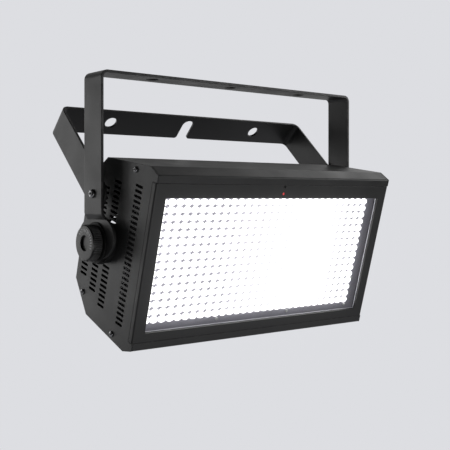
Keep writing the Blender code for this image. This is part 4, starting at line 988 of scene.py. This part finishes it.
rear = {"width": 0.132, "height": 0.103, "corner": 0.002, "inner": -0.0507, "screwX": 0.0618,
        "screwV": 0.0473, "screwHead": (0.0024, 0.0014), "lift": 0.0001, "fanScrewHead": (0.0030, 0.0017),
        "fanLift": 0.0002, "buttonRow": 0.0090, "buttonHole": 0.0041, "socketRow": -0.0260,
        "socketHole": 0.0121, "socketFace": -0.0546, "socketScrew": (0.0095, 0.0120), "displayRow": 0.0290,
        "displayHole": (0.046, 0.018), "fuse": (0.050, 0.020), "fuseHole": 0.0063}
buttonXs = {"menu": -0.027, "down": -0.009, "up": 0.009, "enter": 0.027}
socketXs = {"power_inlet": -0.045, "power_outlet": -0.015, "data_inlet": 0.015, "data_outlet": 0.045}


def makeRearPlate(s):
    loops = [rounded(s.width, s.height, s.corner), rectangle(*s.displayHole, (0, s.displayRow)),
             circle(s.fuseHole, s.fuse)]
    loops += [circle(s.buttonHole, (x, s.buttonRow), sides=28) for x in buttonXs.values()]
    loops += [circle(s.socketHole, (x, s.socketRow), sides=48) for x in socketXs.values()]
    headPiece("rear_panel", frontPlate(loops, plateOuter, s.inner), casingPaint, ["rear_plate"])
    across, down = s.socketScrew
    spots = corners(s.screwX, plateOuter - s.lift, s.screwV)
    spots += [(x + sign * across, s.socketFace, s.socketRow - sign * down)
              for x in socketXs.values() for sign in (-1, 1)]
    headScrews("rear_panel_screws", spots, (0, -1, 0), s.screwHead)
    spots = [(x, wallOuter - s.fanLift, v) for x, v in fanScrews]
    headScrews("fan_screws", spots, (0, -1, 0), s.fanScrewHead)


display = {"pane": (0.0454, 0.0174), "paneCorner": 0.0008, "paneThickness": 0.0012, "paneEdge": 0.0002,
           "lit": ("abcdef", "abcdef", "abcdef", "bc"), "pitch": 0.0098, "width": 0.0052,
           "height": 0.0096, "bar": 0.0009, "gap": 0.0003, "sink": 0.0001, "rise": 0.00012,
           "barEdge": 0.00008}   # the bars that are lit read 0001
bars = {"a": (0, 1, 0), "b": (1, 0.5, 1), "c": (1, -0.5, 1), "d": (0, -1, 0), "e": (-1, -0.5, 1),
        "f": (-1, 0.5, 1), "g": (0, 0, 0)}   # a bar's place across and up, and whether it stands upright


def makeDisplay(s):
    row = rear["displayRow"]
    pane = frontPlate([rounded(*s.pane, s.paneCorner, (0, row))], plateOuter,
                      plateOuter + s.paneThickness, s.paneEdge)
    headPiece("display_pane", pane, lensDark, ["display_lens"])
    lit = []
    for index, segments in enumerate(s.lit):
        centre = -(index - (len(s.lit) - 1) / 2) * s.pitch   # seen from behind, x runs leftwards
        for name in segments:
            across, up, upright = bars[name]
            x = centre - across * s.width / 2
            v = row + up * s.height / 2
            dx, dv = s.width / 2 - s.gap, s.bar / 2
            if upright:
                dx, dv = s.bar / 2, s.height / 4 - s.gap
            lit.append(softBlock((x - dx, -plateOuter - s.sink, v - dv),
                                 (x + dx, -plateOuter + s.rise, v + dv), s.barEdge))
    headPiece("display_digits", joined(*lit), digitGlow, ())


button = {"radius": 0.0038, "flange": 0.0049, "flangeThickness": 0.0015, "top": 0.0546, "inner": 0.0504,
          "edge": 0.0009}


def makeButtons(s):
    low = s.inner - s.flangeThickness
    for label, x in buttonXs.items():
        profile = [(0.0, s.top)] + arcPoints((s.radius - s.edge, s.top - s.edge), s.edge, (90, 60, 30, 0))
        profile += [(s.radius, s.inner), (s.flange, s.inner), (s.flange, low), (0.0, low)]
        backPiece(f"key_{label}", lathe(profile, sides=32), (x, rear["buttonRow"]), greyPlastic,
                  [f"button_{label}"], f"button_{label}")


socket = {"flange": (0.026, 0.031), "corner": 0.0025, "edge": 0.0004, "outer": 0.0545,
          "thickness": 0.0020, "lip": 0.0006, "barrel": 0.0116, "barrelEnd": 0.0297, "bore": 0.0095,
          "boreEdge": (0.0005, 0.0006), "floor": 0.0425, "core": 0.0064, "coreSink": 0.0016,
          "plugEdge": 0.0005, "blades": 3, "bladeCircle": 0.0036, "blade": (0.0012, 0.0032),
          "bladeDepth": 0.006, "bladeEdge": 0.0002, "ringGap": 0.0001, "ringWall": 0.0010,
          "ringSink": 0.0012, "pins": 5, "pinCircle": 0.0065, "firstPin": 60, "pinStep": -75,
          "pin": 0.0010, "pinLength": 0.0090, "pinTip": (0.0006, 0.0002), "pinTaper": 0.0010,
          "insert": 0.0090, "pinHole": 0.0013, "pinHoleDepth": 0.009, "pinHoleClear": 0.001}
latchKey = {"width": 0.0070, "depth": 0.0023, "height": 0.0024, "back": 0.0540, "rise": 0.0124,
            "edge": 0.0005}


def makeSockets(s, k):
    row, lip = rear["socketRow"], s.outer + s.lip
    top = lip - s.ringSink

    def pinRing(shape):
        return ringOf(shape, zincPlate, s.pins, s.pinCircle, radians(s.firstPin), radians(s.pinStep))

    for label, x in socketXs.items():
        flange = frontPlate([rounded(*s.flange, s.corner, (x, row)), circle(s.bore, (x, row), sides=40)],
                            -s.outer, s.thickness - s.outer, s.edge)
        shroud = lathe([(s.barrel - s.edge, lip), (s.bore + s.boreEdge[0], lip),
                        (s.bore, lip - s.boreEdge[1]), (s.bore, s.floor), (0.0, s.floor),
                        (0.0, s.barrelEnd), (s.barrel, s.barrelEnd), (s.barrel, lip - s.edge)])
        headPiece(f"{label}_flange", joined(flange, placed(shroud, faceBack(x, row))), socketPlastic,
                  [label])
        if label.startswith("power"):
            blade = upright(*s.blade, lip - s.bladeDepth, lip, s.bladeEdge)
            blades = ringOf(blade, socketPlastic, s.blades, s.bladeCircle, pi / 2)
            core = carved(plug(s.core, s.floor, lip - s.coreSink, s.plugEdge), blades)
            outer = s.bore - s.ringGap
            ring = lathe([(outer, top), (outer, s.floor), (outer - s.ringWall, s.floor),
                          (outer - s.ringWall, top)], sides=40)
            colour = bluePlastic if label == "power_inlet" else greyPlastic
            backPiece(f"{label}_core", joined(core, ring), (x, row), colour)
        elif label == "data_inlet":
            tip = s.floor + s.pinLength
            pin = lathe([(0.0, tip), (s.pinTip[0], tip - s.pinTip[1]), (s.pin, tip - s.pinTaper),
                         (s.pin, s.floor), (0.0, s.floor)], sides=14)
            backPiece("data_inlet_pins", pinRing(pin), (x, row), zincPlate, ())
        else:
            holes = pinRing(rod(s.pinHole, lip - s.pinHoleDepth, lip + s.pinHoleClear, sides=14))
            insert = carved(plug(s.insert, s.floor, top, s.plugEdge), holes)
            backPiece("data_outlet_insert", insert, (x, row), innerPlastic)
    low = Vector((socketXs["data_outlet"] - k.width / 2, k.back, row + k.rise))
    latch = softBlock(low, low + Vector((k.width, k.depth, k.height)), k.edge, segments=2)
    headPiece("latch_key", latch, greyPlastic, ["data_latch"], "data_latch")


fuse = {"flange": 0.0080, "flangeEdge": 0.0005, "face": 0.0525, "front": 0.0540, "barrel": 0.0060,
        "end": 0.0342, "bore": 0.0033, "cap": 0.0052, "capEdge": 0.0006, "capInner": 0.0543,
        "capOuter": 0.0575, "stem": 0.0030, "stemEnd": 0.040, "slot": 0.0015, "slotDepth": 0.0013,
        "slotEdge": 0.0002, "cutter": 0.04, "cutterRise": 0.01}


def makeFuse(s):
    holder = lathe([(s.bore, s.front), (s.flange - s.flangeEdge, s.front),
                    (s.flange, s.front - s.flangeEdge), (s.flange, s.face), (s.barrel, s.face),
                    (s.barrel, s.end), (s.bore, s.end)], sides=40)
    backPiece("fuse_body", holder, rear["fuse"], socketPlastic, ["fuse_holder"])
    cap = lathe([(0.0, s.capOuter), (s.cap - s.capEdge, s.capOuter), (s.cap, s.capOuter - s.capEdge),
                 (s.cap, s.capInner), (s.stem, s.capInner), (s.stem, s.stemEnd), (0.0, s.stemEnd)], sides=40)
    cut = upright(s.cutter, s.slot, s.capOuter - s.slotDepth, s.capOuter + s.cutterRise, s.slotEdge)
    backPiece("fuse_knob", carved(cap, cut), rear["fuse"], socketPlastic, ["fuse_cap"], body="fuse_cap")


eye = {"x": 0.0740, "base": (0.0140, 0.0320), "corner": 0.0020, "face": 0.0507, "plate": 0.0020,
       "tuck": 0.0012, "half": 0.0075, "hole": 0.0050, "holeAt": 0.0612, "ear": 0.0020, "earEdge": 0.0004,
       "screws": 0.0118, "screwHead": (0.0026, 0.0016), "lift": 0.0001}


def makeSafetyEye(s):
    outer = -s.face - s.plate
    base = frontPlate([rounded(*s.base, s.corner, (s.x, 0))], outer, -s.face)
    outline = [(-s.face - s.tuck, s.half), (-s.face - s.tuck, -s.half)]
    outline += arcPoints((-s.holeAt, 0), s.half, range(-90, -271, -10))
    ear = sidePlate([outline, circle(s.hole, (-s.holeAt, 0), sides=36)], s.x - s.ear / 2, s.x + s.ear / 2,
                    s.earEdge)
    headPiece("safety_ear", joined(base, ear), zincPlate, ["safety_eye"])
    spots = [(s.x, outer - s.lift, sz * s.screws) for sz in (-1, 1)]
    headScrews("safety_ear_screws", spots, (0, -1, 0), s.screwHead)


fan = {"hub": 0.0160, "hubEdge": 0.0015, "root": 0.95, "tip": 0.0365, "blades": 7, "first": 0.3,
       "back": 0.0456, "front": 0.0269, "pitch": (50.0, 28.0), "chord": (0.0135, 0.0180),
       "camber": 0.0016, "thickness": 0.0011, "rows": 5, "steps": 6}


def between(ends, share):
    return ends[0] + (ends[1] - ends[0]) * share


def makeFans(s):
    form = bmesh.new()
    rows = []
    for ring in range(s.rows + 1):
        share = ring / s.rows
        radius = between((s.hub * s.root, s.tip), share)   # the blade starts a little inside the hub
        pitch = radians(between(s.pitch, share))
        row = []
        for step in range(s.steps + 1):
            t = step / s.steps - 0.5
            along = t * between(s.chord, share)
            angle = along * cos(pitch) / radius
            lift = along * sin(pitch) + s.camber * (1 - 4 * t * t)
            row.append(form.verts.new((radius * cos(angle), radius * sin(angle), lift)))
        rows.append(row)
    for first, second in zip(rows, rows[1:]):
        for i in range(s.steps):
            form.faces.new((first[i], first[i + 1], second[i + 1], second[i]))
    thing = bpy.data.objects.new("blade", meshFrom(form))
    solid = thing.modifiers.new("wall", "SOLIDIFY")
    solid.thickness = s.thickness
    solid.offset = 0.0
    blade = placed(readMesh(thing, clean=True), Matrix.Translation((0, 0, (s.back + s.front) / 2)))
    for side, label in bothSides:
        hub = plug(s.hub, s.front, s.back, s.hubEdge)
        blades = ringOf(blade.copy(), innerPlastic, s.blades, 0.0, s.first * side)
        backPiece(f"fan_wheel_{label}", joined(hub, blades), (side * shell["fanOffset"], 0), innerPlastic,
                  [f"fan_rotor_{label}"], body=f"fan_rotor_{label}")


makeRearPlate(named(rear))
makeDisplay(named(display))
makeButtons(named(button))
makeSockets(named(socket), named(latchKey))
makeFuse(named(fuse))
makeSafetyEye(named(eye))
makeFans(named(fan))
print("back made")

# Solids that stay as they are get their finish
keptFinishes = {"window_gasket": rubberBlack, "sensor_board": boardGreen, "heatsink": millAluminium,
                "deck_plate": millAluminium, "power_supply": zincPlate, "driver_board": boardGreen,
                "control_board": boardGreen, "display_module": innerPlastic,
                "fan_frame_left": innerPlastic, "fan_frame_right": innerPlastic}
for name, material in keptFinishes.items():
    for slot in nodes[name].material_slots:
        slot.material = material

# Floor, light and camera. The surroundings are brighter behind, towards wayX and wayY
studio = {"floor": -0.95, "floorRadius": 2.2, "floorSides": 96, "backdrop": (0.723, 0.730, 0.760),
          "front": 0.01, "behind": 0.62, "wayX": 0.63, "wayY": 0.776, "wayRange": (0.15, 0.75),
          "bounce": 0.45, "target": (-0.05, 0.0, -0.15),
          "lamps": (("backLamp", (-0.55, 1.2, -0.15), (0.6, 0.8), 1.6),
                    ("cornerLamp", (-0.8, 0.9, -0.1), (0.5, 0.8), 0.7),
                    ("sideLamp", (-0.95, 0.42, -0.02), (0.7, 0.8), 0.3),
                    ("highLamp", (0.95, 0.27, 0.6), (0.5, 0.5), 1.0),
                    ("rightLamp", (1.2, -0.9, 0.2), (0.8, 0.8), 5.0),
                    ("lowLamp", (0.0, -1.3, -0.7), (0.8, 0.8), 4.0),
                    ("frontLamp", (0.2, -1.5, 0.1), (0.8, 0.8), 0.8)),
          "bloom": {"Threshold": 1.0, "Strength": 0.05, "Size": 0.25}}
camera = {"lens": 68.1, "sensor": 36.0, "shift": -0.0591, "place": (-0.64611, -0.78503, -0.13486),
          "heading": -39.094}


def addLamp(name, place, target, size, power):
    lamp = bpy.data.lights.new(name, "AREA")
    lamp.shape = "RECTANGLE"
    lamp.size, lamp.size_y = size
    lamp.energy = power
    thing = addObject(name, lamp)
    thing.location = place
    thing.rotation_euler = (Vector(target) - Vector(place)).to_track_quat("-Z", "Y").to_euler()


def seenOrLit(tree, seen, lit, end):   # one shade for the camera and another as a light source
    seesIt = addNode(tree, "ShaderNodeLightPath").node.outputs["Is Camera Ray"]
    tree.links.new(addNode(tree, "ShaderNodeMixShader", seesIt, lit, seen), end.inputs["Surface"])


def makeStudio(s):
    backdrop = (*s.backdrop, 1)
    form = bmesh.new()
    bmesh.ops.create_circle(form, cap_ends=True, segments=s.floorSides, radius=s.floorRadius,
                            matrix=Matrix.Translation((0, 0, s.floor)))
    floor = addObject("floor", meshFrom(form))
    pale = bpy.data.materials.new("paleFloor")
    pale.use_nodes = True
    tree = pale.node_tree
    tree.nodes.remove(tree.nodes["Principled BSDF"])
    seen = addNode(tree, "ShaderNodeEmission", Color=backdrop)
    lit = addNode(tree, "ShaderNodeEmission", Color=backdrop, Strength=s.bounce)
    seenOrLit(tree, seen, lit, tree.nodes["Material Output"])
    floor.data.materials.append(pale)
    world = bpy.data.worlds.new("studio")
    world.use_nodes = True
    tree = world.node_tree
    tree.nodes["Background"].inputs["Color"].default_value = backdrop
    way = addNode(tree, "ShaderNodeTexCoord").node.outputs["Generated"]
    way = addNode(tree, "ShaderNodeSeparateXYZ", way).node.outputs
    behind = plus(tree, times(tree, way["X"], s.wayX), times(tree, way["Y"], s.wayY))
    lit = addNode(tree, "ShaderNodeBackground", Strength=ramp(tree, behind, *s.wayRange, s.front, s.behind))
    seenOrLit(tree, tree.nodes["Background"].outputs[0], lit, tree.nodes["World Output"])
    scene.world = world
    for name, place, size, power in s.lamps:
        addLamp(name, place, s.target, size, power)
    scene.use_nodes = True   # a soft bloom round the lit face
    tree = scene.node_tree
    glare = addNode(tree, "CompositorNodeGlare", Image=tree.nodes["Render Layers"].outputs["Image"],
                    glare_type="BLOOM", **s.bloom)
    tree.links.new(glare, tree.nodes["Composite"].inputs["Image"])


def makeCamera(s):
    view = bpy.data.cameras.new("camera")
    view.lens = s.lens
    view.sensor_width = s.sensor
    view.shift_y = s.shift
    thing = addObject("camera", view)
    thing.location = s.place
    thing.rotation_euler = (radians(90), 0, radians(s.heading))
    scene.camera = thing
    scene.view_settings.view_transform = "Standard"


makeStudio(named(studio))
makeCamera(named(camera))
print("studio made")
